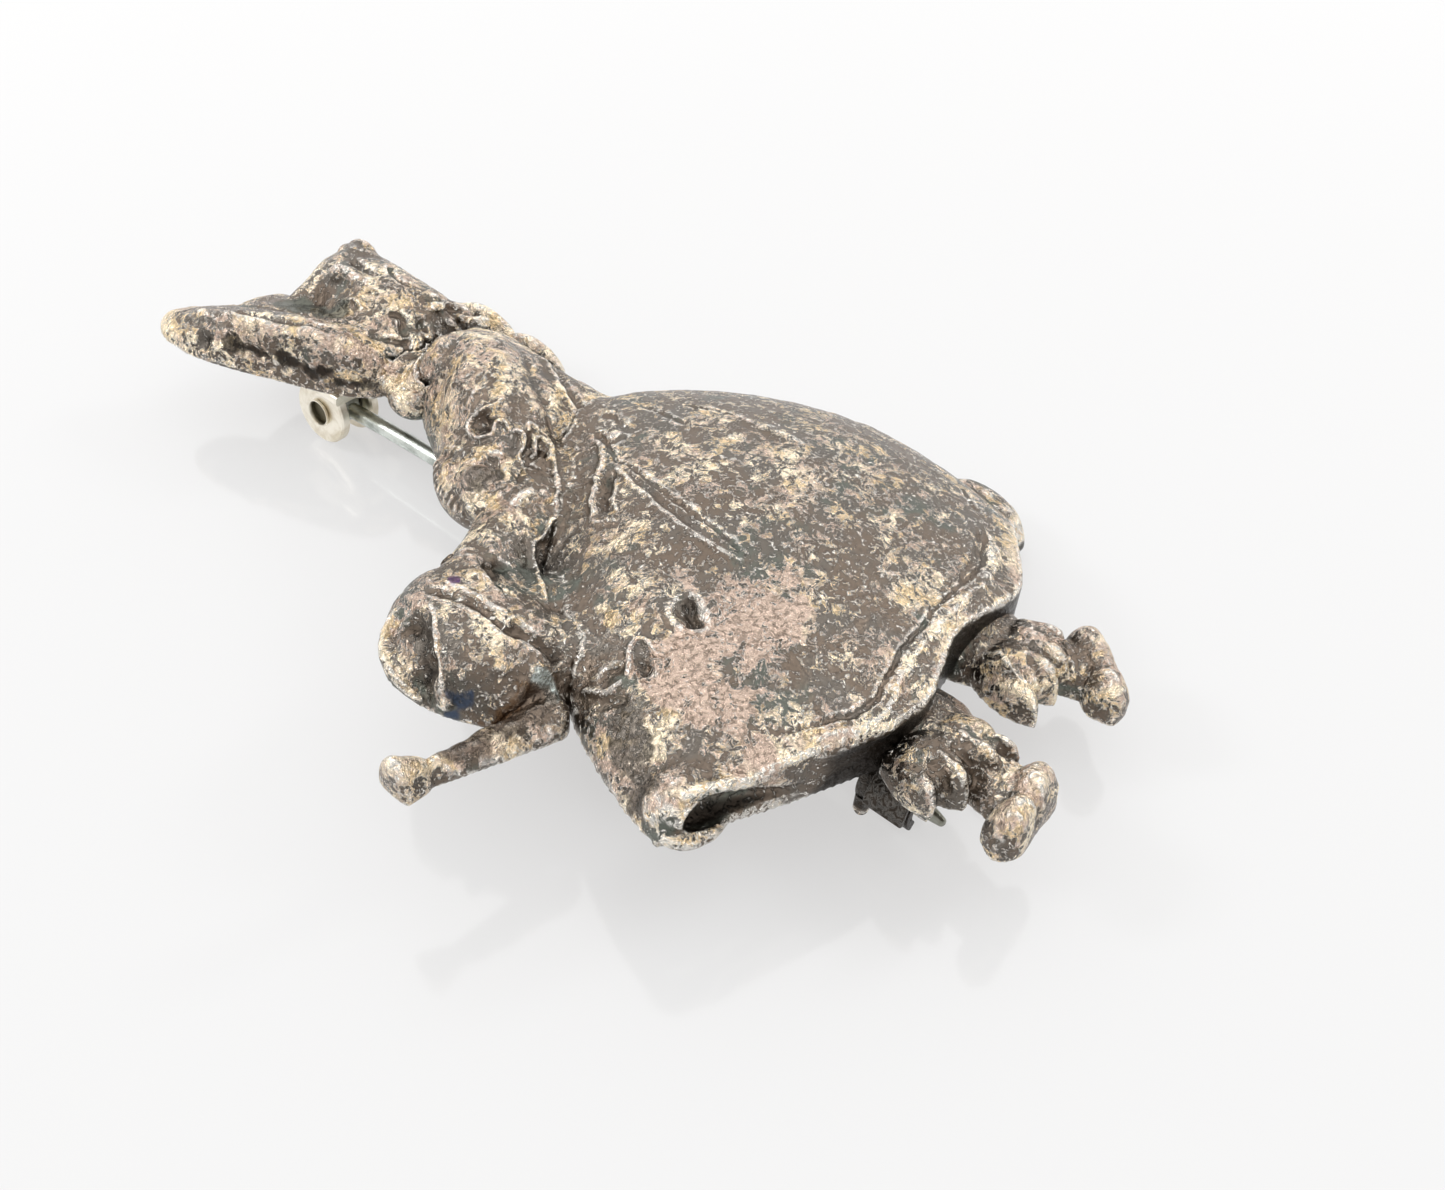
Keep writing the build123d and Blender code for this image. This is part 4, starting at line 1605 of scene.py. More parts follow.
@dataclass
class WateringCan(Relief):
    """Forearm and hand, the can that it carries, its spout and rose."""

    name: str = "watering_can"
    cell: float = 0.10
    lumpy: float = 0.09
    pebbly: float = 0.05
    hollowed: bool = False

    def masses(self) -> list[np.ndarray]:
        """Shape arm, can with its rolled rim, spout and rose.

        Returns:
            Closed grids.
        """
        forearm_sections = (
            Section(0.0, -0.48, 0.48, 0, 0.88),
            Section(0.5, -0.46, 0.66, 0, 0.88),
            Section(1.0, -0.42, 0.66, 0, 0.80),
        )
        can_sections = (
            Section(0.00, -0.16, 0.24, 0, 0.45),
            Section(0.15, -0.40, 0.44, 0, 0.80),
            Section(0.40, -0.55, 0.48, 0, 1.00),
            Section(0.64, -0.50, 0.46, 0, 0.95),
            Section(0.85, -0.36, 0.36, 0, 0.75),
            Section(1.00, -0.20, 0.20, 0, 0.40),
        )
        spout_sections = (
            Section(0.0, -0.50, 0.50, 0, 1.00),
            Section(0.5, -0.38, 0.38, 0, 0.80),
            Section(1.0, -0.26, 0.26, 0, 0.62),
        )
        rose_sections = (
            Section(0.0, -0.24, 0.24, 0, 0.50),
            Section(0.6, -0.36, 0.36, 0, 0.75),
            Section(1.0, -0.50, 0.50, 0, 1.00),
        )
        rim = (
            (-17.8, -5.3, 2.7),
            (-19.0, -5.2, 2.1),
            (-20.2, -5.6, 1.2),
            (-20.8, -6.8, 0.8),
            (-20.9, -8.4, 0.6),
        )
        shoulder = (
            (-18.2, -6.2, 3.0),
            (-18.7, -7.3, 3.1),
            (-19.4, -8.3, 2.8),
            (-20.2, -9.2, 1.9),
            (-20.6, -10.0, 0.9),
        )
        lumps = (
            Lump(-16.0, -7.3, 3.5, 0.8, 1.5, 0.6, 10),
            Lump(-14.8, -5.2, 2.7, 1.3, 1.1, 0.8, 30),
            Lump(-16.7, -5.9, 2.9, 0.9, 0.8, 0.8, 30),
            Lump(-15.2, -10.6, 1.6, 1.6, 2.6, 1.2, -16),
            Lump(-13.4, -8.2, 1.4, 1.8, 2.4, 1.3, -30),
        )
        return [
            dome(FOREARM, forearm_sections),
            dome(CAN, can_sections),
            dome(SPOUT, spout_sections),
            dome(placed(SPOUT, 0.90, 0.0, 106, (2.5, 2.9, 2.4)), rose_sections, rounded=0.36),
            tube(smooth_line(rim), 0.42),
            tube(smooth_line(shoulder), 0.42),
            *(ball(lump) for lump in lumps),
        ]

    def strokes(self) -> list[Stroke]:
        """Draw the can's mouth, the creases by the arm and the ridges of the spout.

        Returns:
            The strokes.
        """
        can_side = ((-18.2, -5.8), (-17.6, -7.2), (-17.3, -8.5), (-17.2, -10.0), (-16.9, -11.2))
        spout_ridge = ((-23.6, -12.9), (-22.0, -13.4), (-20.4, -13.9), (-18.9, -14.4), (-17.2, -14.9))
        return [
            Stroke(((-19.7, -6.5), (-20.2, -7.4), (-20.6, -8.4)), 0.66, -0.76),
            Stroke(((-18.5, -6.5), (-18.9, -7.3), (-19.6, -8.2), (-20.3, -9.1), (-20.7, -9.8)), 0.17, 0.20),
            Stroke(can_side, 0.24, -0.40),
            Stroke(((-17.1, -6.0), (-17.0, -7.4), (-16.8, -8.9), (-16.6, -9.9)), 0.14, 0.24),
            Stroke(((-16.8, -10.1), (-16.5, -11.1), (-16.1, -12.0), (-15.9, -12.7)), 0.34, -0.46),
            Stroke(((-15.6, -8.9), (-15.0, -7.4), (-14.2, -6.2)), 0.32, -0.34),
            Stroke(((-14.6, -4.6), (-14.0, -5.6), (-14.4, -6.8)), 0.3, -0.24),
            Stroke(((-16.1, -7.2),), 0.26, -0.2),
            Stroke(((-15.7, -8.4),), 0.26, 0.16),
            Stroke(((-18.3, -9.2), (-18.2, -10.6), (-18.9, -11.6)), 0.5, 0.14),
            Stroke(((-20.4, -11.4), (-19.4, -12.2), (-17.9, -12.8)), 0.26, 0.20),
            Stroke(((-20.2, -12.3), (-19.0, -12.9), (-17.4, -13.4)), 0.22, -0.26),
            Stroke(((-17.5, -12.6),), 0.5, 0.20),
            Stroke(spout_ridge, 0.16, 0.30),
            Stroke(((-23.2, -12.1), (-21.0, -12.8), (-18.8, -13.4)), 0.30, -0.20),
            Stroke(SLEEVE_EDGE, 0.13, 0.26),
        ]


@dataclass
class Legs(Relief):
    """Pantalettes with torn frills, ankles and boots."""

    name: str = "legs"
    cell: float = 0.095
    lumpy: float = 0.10
    pebbly: float = 0.055
    hollowed: bool = False
    gloom: float = 0.15
    rubbed: float = 0.45
    leg: tuple[float, float, float] = (5.0, 6.0, 2.6)
    ankle: tuple[float, float, float] = (3.2, 3.4, 2.0)
    boot: tuple[float, float, float] = (5.7, 2.5, 2.1)

    def forms(self) -> dict[str, list[Form]]:
        """Stand the legs, ankles, boots and frills in their places.

        Returns:
            Their forms, by kind.
        """
        legs = [placed(SKIRT, 0.945, -0.18, 0, self.leg), placed(SKIRT, 0.870, 0.04, -12, self.leg)]
        ankles = [placed(legs[0], 0.85, 0.02, 10, self.ankle), placed(legs[1], 0.85, 0.10, -20, self.ankle)]
        boots = [placed(ankles[0], 0.82, 0.68, 80, self.boot), placed(ankles[1], 0.57, 0.70, 38, self.boot)]
        frills = [
            Form(-6.0, -27.6, -28, 3.6, 1.7, 2.3),
            Form(-6.4, -26.6, -8, 4.1, 1.9, 2.35),
            Form(-7.6, -26.2, 4, 4.1, 1.9, 2.0),
            Form(-7.9, -26.0, 23, 3.8, 1.9, 1.7),
            Form(2.8, -25.2, -6, 3.2, 1.7, 2.5),
            Form(1.9, -25.2, -4, 4.1, 2.2, 2.3),
            Form(1.3, -25.1, 4, 4.3, 2.2, 2.1),
            Form(0.4, -24.9, 17, 4.9, 2.2, 1.7),
        ]
        return {"leg": legs, "ankle": ankles, "boot": boots, "frill": frills}

    def masses(self) -> list[np.ndarray]:
        """Shape the fused forms and the frills' folds.

        Returns:
            Closed grids.
        """
        leg_sections = (
            Section(0.0, -0.46, 0.46, -0.1, 0.78),
            Section(0.5, -0.44, 0.44, -0.1, 0.78),
            Section(0.9, -0.30, 0.30, -0.1, 0.60),
        )
        ankle_sections = (
            Section(0.0, -0.50, 0.50, -0.1, 0.80),
            Section(0.5, -0.46, 0.46, -0.1, 0.80),
            Section(1.0, -0.45, 0.45, -0.1, 0.75),
        )
        boot_sections = (
            Section(0.00, -0.30, 0.34, -0.1, 0.70),
            Section(0.20, -0.48, 0.46, -0.1, 1.00),
            Section(0.60, -0.40, 0.42, -0.1, 0.95),
            Section(0.85, -0.42, 0.46, -0.1, 0.85),
            Section(1.00, -0.26, 0.30, -0.1, 0.50),
        )
        frill_sections = (
            Section(0.0, -0.40, 0.40, 0, 0.75),
            Section(0.45, -0.50, 0.50, 0, 0.92),
            Section(0.8, -0.36, 0.36, 0, 1.00),
            Section(1.0, -0.10, 0.10, 0, 0.80),
        )
        forms = self.forms()
        webs = (
            Lump(-7.3, -28.0, 0.9, 1.9, 1.9, 1.25, 10),
            Lump(-5.6, -28.4, 1.2, 1.6, 1.8, 1.2, -16),
            Lump(0.9, -27.2, 0.9, 1.8, 1.9, 1.25, 10),
            Lump(2.3, -27.0, 1.2, 1.4, 1.7, 1.25, 0),
        )
        return [
            *(ball(lump) for lump in webs),
            *(dome(form, leg_sections, rounded=0.08) for form in forms["leg"]),
            *(dome(form, ankle_sections, rounded=0.06) for form in forms["ankle"]),
            *(dome(form, boot_sections, rounded=0.22) for form in forms["boot"]),
            *(dome(form, frill_sections, rounded=0.16) for form in forms["frill"]),
        ]

    def strokes(self) -> list[Stroke]:
        """Return the shadows between the frills and the lines of the boots."""
        return [
            Stroke(((-7.0, -28.2), (-6.9, -29.4), (-6.9, -30.4)), 0.22, -0.16),
            Stroke(((-5.5, -28.8), (-5.2, -29.8), (-5.1, -30.6)), 0.20, -0.16),
            Stroke(((-8.3, -28.0), (-8.5, -29.2), (-8.7, -30.0)), 0.22, -0.20),
            Stroke(((-7.6, -28.0), (-7.8, -29.0), (-7.9, -30.0)), 0.14, 0.16),
            Stroke(((-6.0, -28.0), (-6.1, -29.0), (-6.0, -30.2)), 0.14, 0.16),
            Stroke(((2.4, -26.6), (2.5, -27.8)), 0.20, -0.14),
            Stroke(((1.5, -27.0), (1.5, -28.8)), 0.20, -0.12),
            Stroke(((0.6, -27.4), (0.3, -28.8)), 0.20, -0.12),
            Stroke(((0.2, -26.0), (-0.6, -28.4)), 0.14, 0.14),
            Stroke(((-7.2, -31.4), (-6.6, -32.4), (-6.9, -33.6)), 0.26, -0.14),
            Stroke(((-5.2, -31.4), (-6.0, -32.6), (-7.4, -33.0)), 0.4, 0.14),
            Stroke(((2.8, -29.6), (3.4, -30.6), (3.0, -31.8)), 0.26, -0.12),
        ]


@dataclass
class HeightMap:
    """Heights of the whole front on a square plan grid, to tell hollows from high places."""

    low: np.ndarray
    cell: float
    heights: np.ndarray
    floor: float = -3.0

    @classmethod
    def over(cls, skins: Sequence[Skin], cell: float = 0.21) -> "HeightMap":
        """Take the highest point of all the skins in each square of the plan.

        Args:
            skins: The skins.
            cell: The squares' side, wider than the skins' own squares.

        Returns:
            The heights.
        """
        points = np.vstack([skin.points for skin in skins])
        low = points[:, :2].min(0) - 2
        shape = np.ceil((points[:, :2].max(0) + 2 - low) / cell).astype(int)
        heights = np.full(shape, cls.floor)
        squares = ((points[:, :2] - low) / cell).astype(int)
        np.maximum.at(heights, tuple(squares.T), points[:, 2])
        return cls(low, cell, heights)

    def spread(self, values: np.ndarray, radius: float) -> np.ndarray:
        """Average values over squares, worked out twice over.

        Args:
            values: Values on the grid.
            radius: How far the squares reach.

        Returns:
            The means on the grid.
        """
        reach = max(1, round(radius / self.cell))
        for axis in (0, 1, 0, 1):
            padded = np.pad(values, [(reach + 1, reach) if a == axis else (0, 0) for a in (0, 1)], "edge")
            total = padded.cumsum(axis)
            size = values.shape[axis]
            ahead = np.take(total, np.arange(size) + 2 * reach + 1, axis)
            behind = np.take(total, np.arange(size), axis)
            values = (ahead - behind) / (2 * reach + 1)
        return values

    def at(self, values: np.ndarray, points: np.ndarray) -> np.ndarray:
        """Read values at plan points, easing between the four nearest squares.

        Args:
            values: Values on the grid.
            points: Where they are read.

        Returns:
            One value a point.
        """
        place = (points[:, :2] - self.low) / self.cell - 0.5
        corner = np.floor(place).astype(int)
        part = place - corner
        x, y = corner.T
        lower = values[x, y] * (1 - part[:, 0]) + values[x + 1, y] * part[:, 0]
        upper = values[x, y + 1] * (1 - part[:, 0]) + values[x + 1, y + 1] * part[:, 0]
        return lower * (1 - part[:, 1]) + upper * part[:, 1]

    def above(self, points: np.ndarray, radius: float) -> np.ndarray:
        """Return how far the surroundings of each point rise above it, in millimetres."""
        return self.at(self.spread(self.heights, radius), points) - points[:, 2]

    def eased_over(self, points: np.ndarray, radius: float) -> np.ndarray:
        """Tell how far the front rises at each point when it is averaged.

        Only squares that the front covers count, so its outline doesn't droop.

        Args:
            points: The points.
            radius: How far the average reaches.

        Returns:
            One rise a point.
        """
        covered = (self.heights > 0.2).astype(float)
        mean = self.spread(self.heights * covered, radius) / np.maximum(self.spread(covered, radius), 1e-6)
        return self.at(np.where(covered > 0, mean - self.heights, 0), points)


@dataclass(frozen=True)
class Flow:
    """A line where masses of the casting run into each other in a smooth trough."""

    line: tuple[Plan, ...]
    reach: float
    radius: float

    def ease(self, skin: Skin, heights: HeightMap) -> None:
        """Bring a skin's front to the averaged front, fading out from the line.

        Args:
            skin: The skin.
            heights: The heights of the whole front.
        """
        distance, _ = nearest(skin.points[:, :2], smooth_line(self.line))
        share = eased(-distance, -self.reach, -0.35 * self.reach) * eased(skin.points[:, 2], 0.1, 0.7)
        share *= eased(skin.normals()[:, 2], -0.1, 0.2)
        skin.points[:, 2] += share * np.clip(heights.eased_over(skin.points, self.radius), -0.9, 1.4)


ARM_TROUGH = ((-3.0, -1.8), (-5.2, -3.6), (-8.0, -5.2), (-11.0, -6.6), (-13.4, -8.8), (-15.2, -11.6))


@dataclass
class Figure:
    """The whole casting, cast part by part and dressed in one finish."""

    parts: tuple[Relief, ...]
    finish: bpy.types.Material
    near: float = 0.35
    wide: float = 1.1
    margin: float = 0.0008
    flows: tuple[Flow, ...] = (
        Flow(ARM_TROUGH, 2.6, 0.60),
        Flow(((-7.6, 2.4), (-6.9, 0.4), (-7.2, -1.6), (-8.4, -3.2), (-10.2, -3.8)), 2.6, 0.60),
        Flow(((-2.4, 7.6), (-0.8, 5.0), (-0.9, 2.0), (-2.2, -1.0), (-4.0, -3.2)), 2.0, 0.55),
        Flow(((-7.4, 20.2), (-6.8, 17.6), (-5.8, 14.6), (-4.8, 12.2)), 2.3, 0.80),
        Flow(((-15.4, -3.8), (-15.8, -7.0), (-15.4, -10.0), (-14.9, -12.5)), 1.7, 0.40),
        Flow(((-7.0, 9.4), (-4.2, 9.8), (-1.6, 10.0), (1.2, 9.8)), 1.8, 0.50),
        Flow(((-3.2, -1.0), (-0.5, -0.4), (1.6, 0.2)), 1.6, 0.45),
        Flow(((-14.6, -13.2), (-16.6, -13.8), (-18.0, -13.6)), 1.2, 0.35),
        Flow(((-6.4, 7.2), (-5.4, 8.2), (-4.6, 9.4)), 1.2, 0.35),
        Flow(((2.6, -28.8), (3.2, -29.6)), 1.3, 0.30),
        Flow(((-4.9, -30.6), (-6.0, -31.6)), 1.3, 0.30),
    )

    def hollows(self) -> bpy.types.Object:
        """Make the hollow back of bonnet, bodice, sleeve and skirt.

        Returns:
            One cutter.
        """
        grids = [
            dome(CROWN, CROWN_SECTIONS, WALL),
            dome(BODICE, BODICE_SECTIONS, WALL),
            dome(SLEEVE, SLEEVE_SECTIONS, WALL),
            bell(SKIRT, SKIRT_SECTIONS, HEM, WALL, WALL + 1.5),
        ]
        return fused("hollows", grids, 0.2)

    def build(self, casting: Casting) -> None:
        """Cast, ease and chase the parts, note tarnish, wear and painted shade, dress them and lay them down.

        Args:
            casting: Where the casting lies.
        """
        cutter = self.hollows()
        skins = [part.cast(cutter) for part in self.parts]
        bpy.data.objects.remove(cutter)
        for flow in self.flows:
            heights = HeightMap.over(skins)
            for skin in skins:
                flow.ease(skin, heights)
        for part, skin in zip(self.parts, skins):
            part.chase(skin)
        heights = HeightMap.over(skins)
        for part, skin in zip(self.parts, skins):
            self.tell(part, skin, heights)
            laid = self.kept(casting.lay(skin.points))
            skin.piece.data.vertices.foreach_set("co", laid.astype(np.float32).ravel())
            finish_mesh(skin.piece, self.finish, "figure")
            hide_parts("figure")

    def kept(self, laid: np.ndarray) -> np.ndarray:
        """Keep points on the table and inside the solids' box, easing the last stretch to it.

        Past a wall - margin, the way left over becomes margin x tanh(way / margin).

        Args:
            laid: Points in the frame, in metres.

        Returns:
            The points.
        """
        low, high = np.array(CAD_BOX)
        low[2] -= 1
        for sign, wall in ((1, high), (-1, low)):
            start = sign * wall - self.margin
            over = sign * laid - start
            laid = np.where(over > 0, sign * (start + self.margin * np.tanh(over / self.margin)), laid)
        laid[:, 2] = np.maximum(laid[:, 2], 2e-6)
        return laid

    def tell(self, part: Relief, skin: Skin, heights: HeightMap) -> None:
        """Note on a skin where it is hollow or in painted shade, where it stands out, and its stains and
        painted shades.

        Hollow is how far the surroundings rise above a point, plus the part's painted shade under
        its own edge; the finish darkens it as the patina of recesses and as painted shade. High is how
        far the surroundings fall below it, and each of the stains and painted shades fades out over its
        radius, its edge broken up by grain.

        Args:
            part: The part.
            skin: Its skin.
            heights: The heights of the whole front.
        """
        points, facing = skin.points, skin.normals()
        near = heights.above(points, self.near)
        wide = heights.above(points, self.wide)
        steep = eased(-facing[:, 2], -0.80, -0.15)
        roll = eased(-points[:, 0], 12.0, 13.5) * eased(-points[:, 1], 20.5, 21.5)
        # darkness of the recesses: partly the patina that gathers there, partly painted shade, less on steep
        # walls and in the hem's open roll
        sunk = part.gloom * (1 - 0.75 * steep) * (1 - 0.6 * roll) * np.clip(1.5 * near + 0.6 * wide, 0, 3)
        # plus painted shade under the part's own edge
        skin.note("hollow", sunk + 1.1 * part.shaded(points, facing))
        high = np.clip(-1.6 * near - 0.9 * wide - 0.15, 0, 1.5)
        skin.note("high", high * (1 - 0.6 * steep) + part.rubbed)
        skin.note("edge", np.clip(skin.rounding(5) / 0.035, -1, 1))
        skin.note("worn", Skirt.wear(points) * eased(points[:, 2], 1.0, 2.0))
        skin.note("steep", steep)
        broken = layered(points, 0.8, 91, 3)
        for stain_or_shade in STAINS_AND_SHADES:
            places = np.array(stain_or_shade.places)
            distance, _ = nearest(points[:, : places.shape[1]], places)
            left = 1.1 - distance / stain_or_shade.radius + stain_or_shade.ragged * broken
            skin.note(stain_or_shade.name, 0.85 * eased(left, 0.0, 0.5))


# Findings


ACROSS, ALONG, UP = np.eye(3)


def swept(middles: np.ndarray, first: np.ndarray, second: np.ndarray, section: np.ndarray) -> np.ndarray:
    """Carry a flat section along a path: middle + u x first way + v x second way, ends closed.

    Args:
        middles: The path's points.
        first: The section's first way at each point, or one for all.
        second: Its second way.
        section: The section's own points, u and v.

    Returns:
        A grid of points, closed round its columns, with its end rows drawn in to points.
    """
    first = np.broadcast_to(first, middles.shape)
    second = np.broadcast_to(second, middles.shape)
    u, v = section.T
    grid = middles[:, None] + u[None, :, None] * first[:, None] + v[None, :, None] * second[:, None]
    start = grid[:1].mean(1, keepdims=True) + 0 * grid[:1]
    end = grid[-1:].mean(1, keepdims=True) + 0 * grid[-1:]
    return np.concatenate([start, grid, end])


def rounded_box(width: float, height: float, corner: float, steps: int = 4) -> np.ndarray:
    """Round a rectangle's corners off.

    Args:
        width: The rectangle's width.
        height: Its height.
        corner: The corners' radius.
        steps: How many points a corner has.

    Returns:
        Its points, going round its middle.
    """
    angles = np.linspace(0, math.pi / 2, steps)
    spans = []
    for index, (x, y) in enumerate(((1, 1), (-1, 1), (-1, -1), (1, -1))):
        turn = angles + index * math.pi / 2
        centre = np.array([x * (width / 2 - corner), y * (height / 2 - corner)])
        spans.append(centre + corner * np.column_stack([np.cos(turn), np.sin(turn)]))
    return np.vstack(spans)


def turned(profile: Sequence[Plan], centre: Sequence[float], axis: int, steps: int = 56) -> np.ndarray:
    """Turn a profile of radius and distance about a line along one of the casting's directions.

    Args:
        profile: Radius and distance along the line, row by row.
        centre: A point of the line.
        axis: Which direction the line has: 0, 1 or 2.
        steps: How many columns go round.

    Returns:
        A grid of points.
    """
    radius, reach = np.array(profile).T
    angle = np.linspace(0, 2 * math.pi, steps, endpoint=False)
    grid = np.zeros((len(radius), steps, 3))
    grid[..., axis] = reach[:, None]
    grid[..., (axis + 1) % 3] = radius[:, None] * np.cos(angle)
    grid[..., (axis + 2) % 3] = radius[:, None] * np.sin(angle)
    return grid + np.asarray(centre)


def merged(piece: bpy.types.Object, reach: float) -> bpy.types.Object:
    """Close a piece's seams and poles, and face it outwards.

    Args:
        piece: The piece.
        reach: Points nearer than this become one.

    Returns:
        The piece.
    """
    shape = bmesh.new()
    shape.from_mesh(piece.data)
    bmesh.ops.remove_doubles(shape, verts=shape.verts, dist=reach)
    bmesh.ops.recalc_face_normals(shape, faces=shape.faces)
    shape.to_mesh(piece.data)
    shape.free()
    return piece


@dataclass
class Findings:
    """Pin joint, pin and rollover catch, in the casting's own places."""

    hinge: tuple[float, float, float] = (-6.2, 14.0, -2.3)
    catch: tuple[float, float, float] = (-6.42, -25.27, -3.0)
    ear_radius: float = 1.9
    ear_thickness: float = 0.6
    ear_gap: float = 1.5
    ear_round: float = 0.10
    neck_half: float = 1.42
    neck_top: float = 2.1
    strip_size: tuple[float, float, float] = (3.9, 4.18, 0.6)
    rivet_radius: float = 0.45
    rivet_head: float = 0.8
    pin_radius: float = 0.45
    pin_bow: float = 0.8
    pin_overhang: float = 1.2
    eye_radius: float = 1.15
    catch_radius: float = 1.85
    catch_sheet: float = 0.36
    catch_end: float = 207.0
    sheet_round: float = 0.10
    catch_length: float = 2.3
    slot_width: float = 1.34
    latch_radius: float = 1.34
    latch_bore: float = 0.75
    latch_ease: float = 0.07
    latch_round: float = 0.08
    latch_reach: float = 0.8
    lever_width: float = 0.75
    lever_root: float = 0.55
    lever_drop: float = 1.45

    def ears(self) -> list[np.ndarray]:
        """Shape the joint's two round ears, each a rounded disc with a neck up to the strip.

        An ear's outline is its circle, drawn over to the neck's end where it faces up. Its rings
        run from the bore out over one face, round the edge and back over the other.

        Returns:
            Two closed grids.
        """
        angle = np.linspace(0, 2 * math.pi, 72, endpoint=False)
        circle = np.column_stack([np.cos(angle), np.sin(angle)])
        neck = np.clip(self.ear_radius * circle, -self.neck_half, self.neck_half)
        neck[:, 1] = self.neck_top
        lift = eased(circle[:, 1:], 0.45, 0.95)
        outline = (1 - lift) * self.ear_radius * circle + lift * neck
        hole = (self.rivet_head - 0.06) * circle
        half, soft = self.ear_thickness / 2, self.ear_round
        rows = ((hole, 0.0, -half), (hole, 0.06, -half), (outline, -soft, -half), (outline, 0.0, soft - half))
        rings = [ring * (1 + grow / np.linalg.norm(ring, axis=1, keepdims=True)) for ring, grow, _ in rows]
        depths = [depth for *_, depth in rows]
        faces = np.array([*rings, *rings[::-1], rings[0]]) + np.array(self.hinge[1:])
        across = np.array([*depths, *(-depth for depth in depths[::-1]), depths[0]])[:, None, None]
        across = across + 0 * faces[..., :1]
        apart = (self.ear_gap + self.ear_thickness) / 2
        return [np.concatenate([self.hinge[0] + side * apart + across, faces], axis=2) for side in (-1, 1)]

    def strip(self) -> list[np.ndarray]:
        """Shape the strip that the ears stand on, with solder run out round it.

        Returns:
            Closed grids.
        """
        x, y, _ = self.hinge
        width, length, thickness = self.strip_size
        middles = np.array([(x, y + end * length / 2, -0.27) for end in (-1, 1)])
        bar = swept(middles, ACROSS, UP, rounded_box(width, thickness, 0.16))
        solder = (
            Lump(x + 1.9, y - 0.6, -0.1, 0.6, 1.1, 0.5),
            Lump(x - 1.8, y + 0.4, -0.1, 0.5, 1.3, 0.45),
            Lump(x + 0.3, y - 2.0, -0.1, 1.2, 0.5, 0.45),
        )
        return [bar, *(ball(lump) for lump in solder)]

    def rivet(self) -> list[np.ndarray]:
        """Shape the tubular rivet: a barrel with a flared and dished end each side.

        Returns:
            One closed grid.
        """
        half = self.ear_gap / 2 + self.ear_thickness + 0.03
        head = self.rivet_head
        end = (
            (0.0, -0.16),
            (0.63, -0.14),
            (0.66, -0.02),
            (0.69, 0.12),
            (0.74, 0.19),
            (head - 0.01, 0.17),
            (head, 0.10),
            (head - 0.03, 0.02),
            (0.72, -0.02),
            (0.72, -0.48),
            (self.rivet_radius, -0.52),
        )
        profile = [(radius, half + depth) for radius, depth in end]
        other = [(radius, -depth) for radius, depth in profile[::-1]]
        return [turned(profile + other, self.hinge, 0)]

    def pin_line(self) -> tuple[np.ndarray, np.ndarray]:
        """Run the pin's bowed line from the hinge to its point.

        The bow is a parabola between hinge and catch: bow x 4 x share x (1 - share).

        Returns:
            The line's points, and the pin's radius at each.
        """
        hinge = np.array(self.hinge)
        end = np.array([self.catch[0], self.catch[1] - self.catch_length, self.catch[2]])
        share = np.linspace(0.022, 1, 90)[:, None]
        bow = np.array([self.pin_bow / 2, 0, self.pin_bow]) * 4 * share * (1 - share)
        line = hinge + share * (end - hinge) + bow
        ahead = unit(line[-1] - line[-2])
        tip = line[-1] + np.linspace(0.02, self.pin_overhang - 0.1, 8)[:, None] * ahead
        taper = np.linspace(1, 0.3, 9)[1:]
        radius = np.concatenate([np.full(len(line), 1.0), np.sqrt(taper)]) * self.pin_radius
        return np.vstack([line, tip]), radius

    def pin(self) -> list[np.ndarray]:
        """Shape the pin: a flattened eye, its neck and the wire.

        Returns:
            Closed grids.
        """
        half = self.ear_gap / 2 - 0.1
        bore = self.rivet_radius + 0.06
        eye = self.eye_radius
        side = [(bore, 0.05 - half), (bore + 0.05, -half), (eye - 0.12, -half), (eye, 0.12 - half)]
        profile = [*side, *((radius, -depth) for radius, depth in side[::-1]), side[0]]
        line, radius = self.pin_line()
        return [turned(profile, self.hinge, 0), tube(line, radius)]

    def shell(
        self, radius: float, sheet: float, start: float, length: float, corner: float, end: float = 270.0
    ) -> np.ndarray:
        """Roll a sheet, open below by the slot: a flat section carried round an arc.

        Args:
            radius: Its outer radius.
            sheet: Its thickness.
            start: Where it starts along the pin, from the catch.
            length: Its length.
            corner: How far its edges are rounded.
            end: The angle that it ends at, from straight across, in degrees.

        Returns:
            A closed grid.
        """
        middle = radius - sheet / 2
        gap = math.asin(self.slot_width / 2 / middle)
        angle = np.linspace(-math.pi / 2 + gap, math.radians(end) - gap, 64)
        out = np.column_stack([np.cos(angle), 0 * angle, np.sin(angle)])
        centre = np.array([self.catch[0], self.catch[1] + start - length / 2, self.catch[2]])
        return swept(centre + middle * out, out, ALONG, rounded_box(sheet, length, corner))

    def catch_piece(self) -> list[np.ndarray]:
        """Shape the catch: its rolled sheet, and the block that it is soldered on by.

        Returns:
            Closed grids.
        """
        x, y, z = self.catch
        length = self.catch_length
        middles = np.array([(x, y - length / 2, height) for height in (0.15, z + 0.9 * self.catch_radius)])
        return [
            self.shell(self.catch_radius, self.catch_sheet, 0.0, length, self.sheet_round, self.catch_end),
            swept(middles, ACROSS, ALONG, rounded_box(self.catch_radius, length, 0.12)),
            ball(Lump(x + 0.2, y - 0.3, -0.15, 1.4, 1.6, 0.5)),
        ]

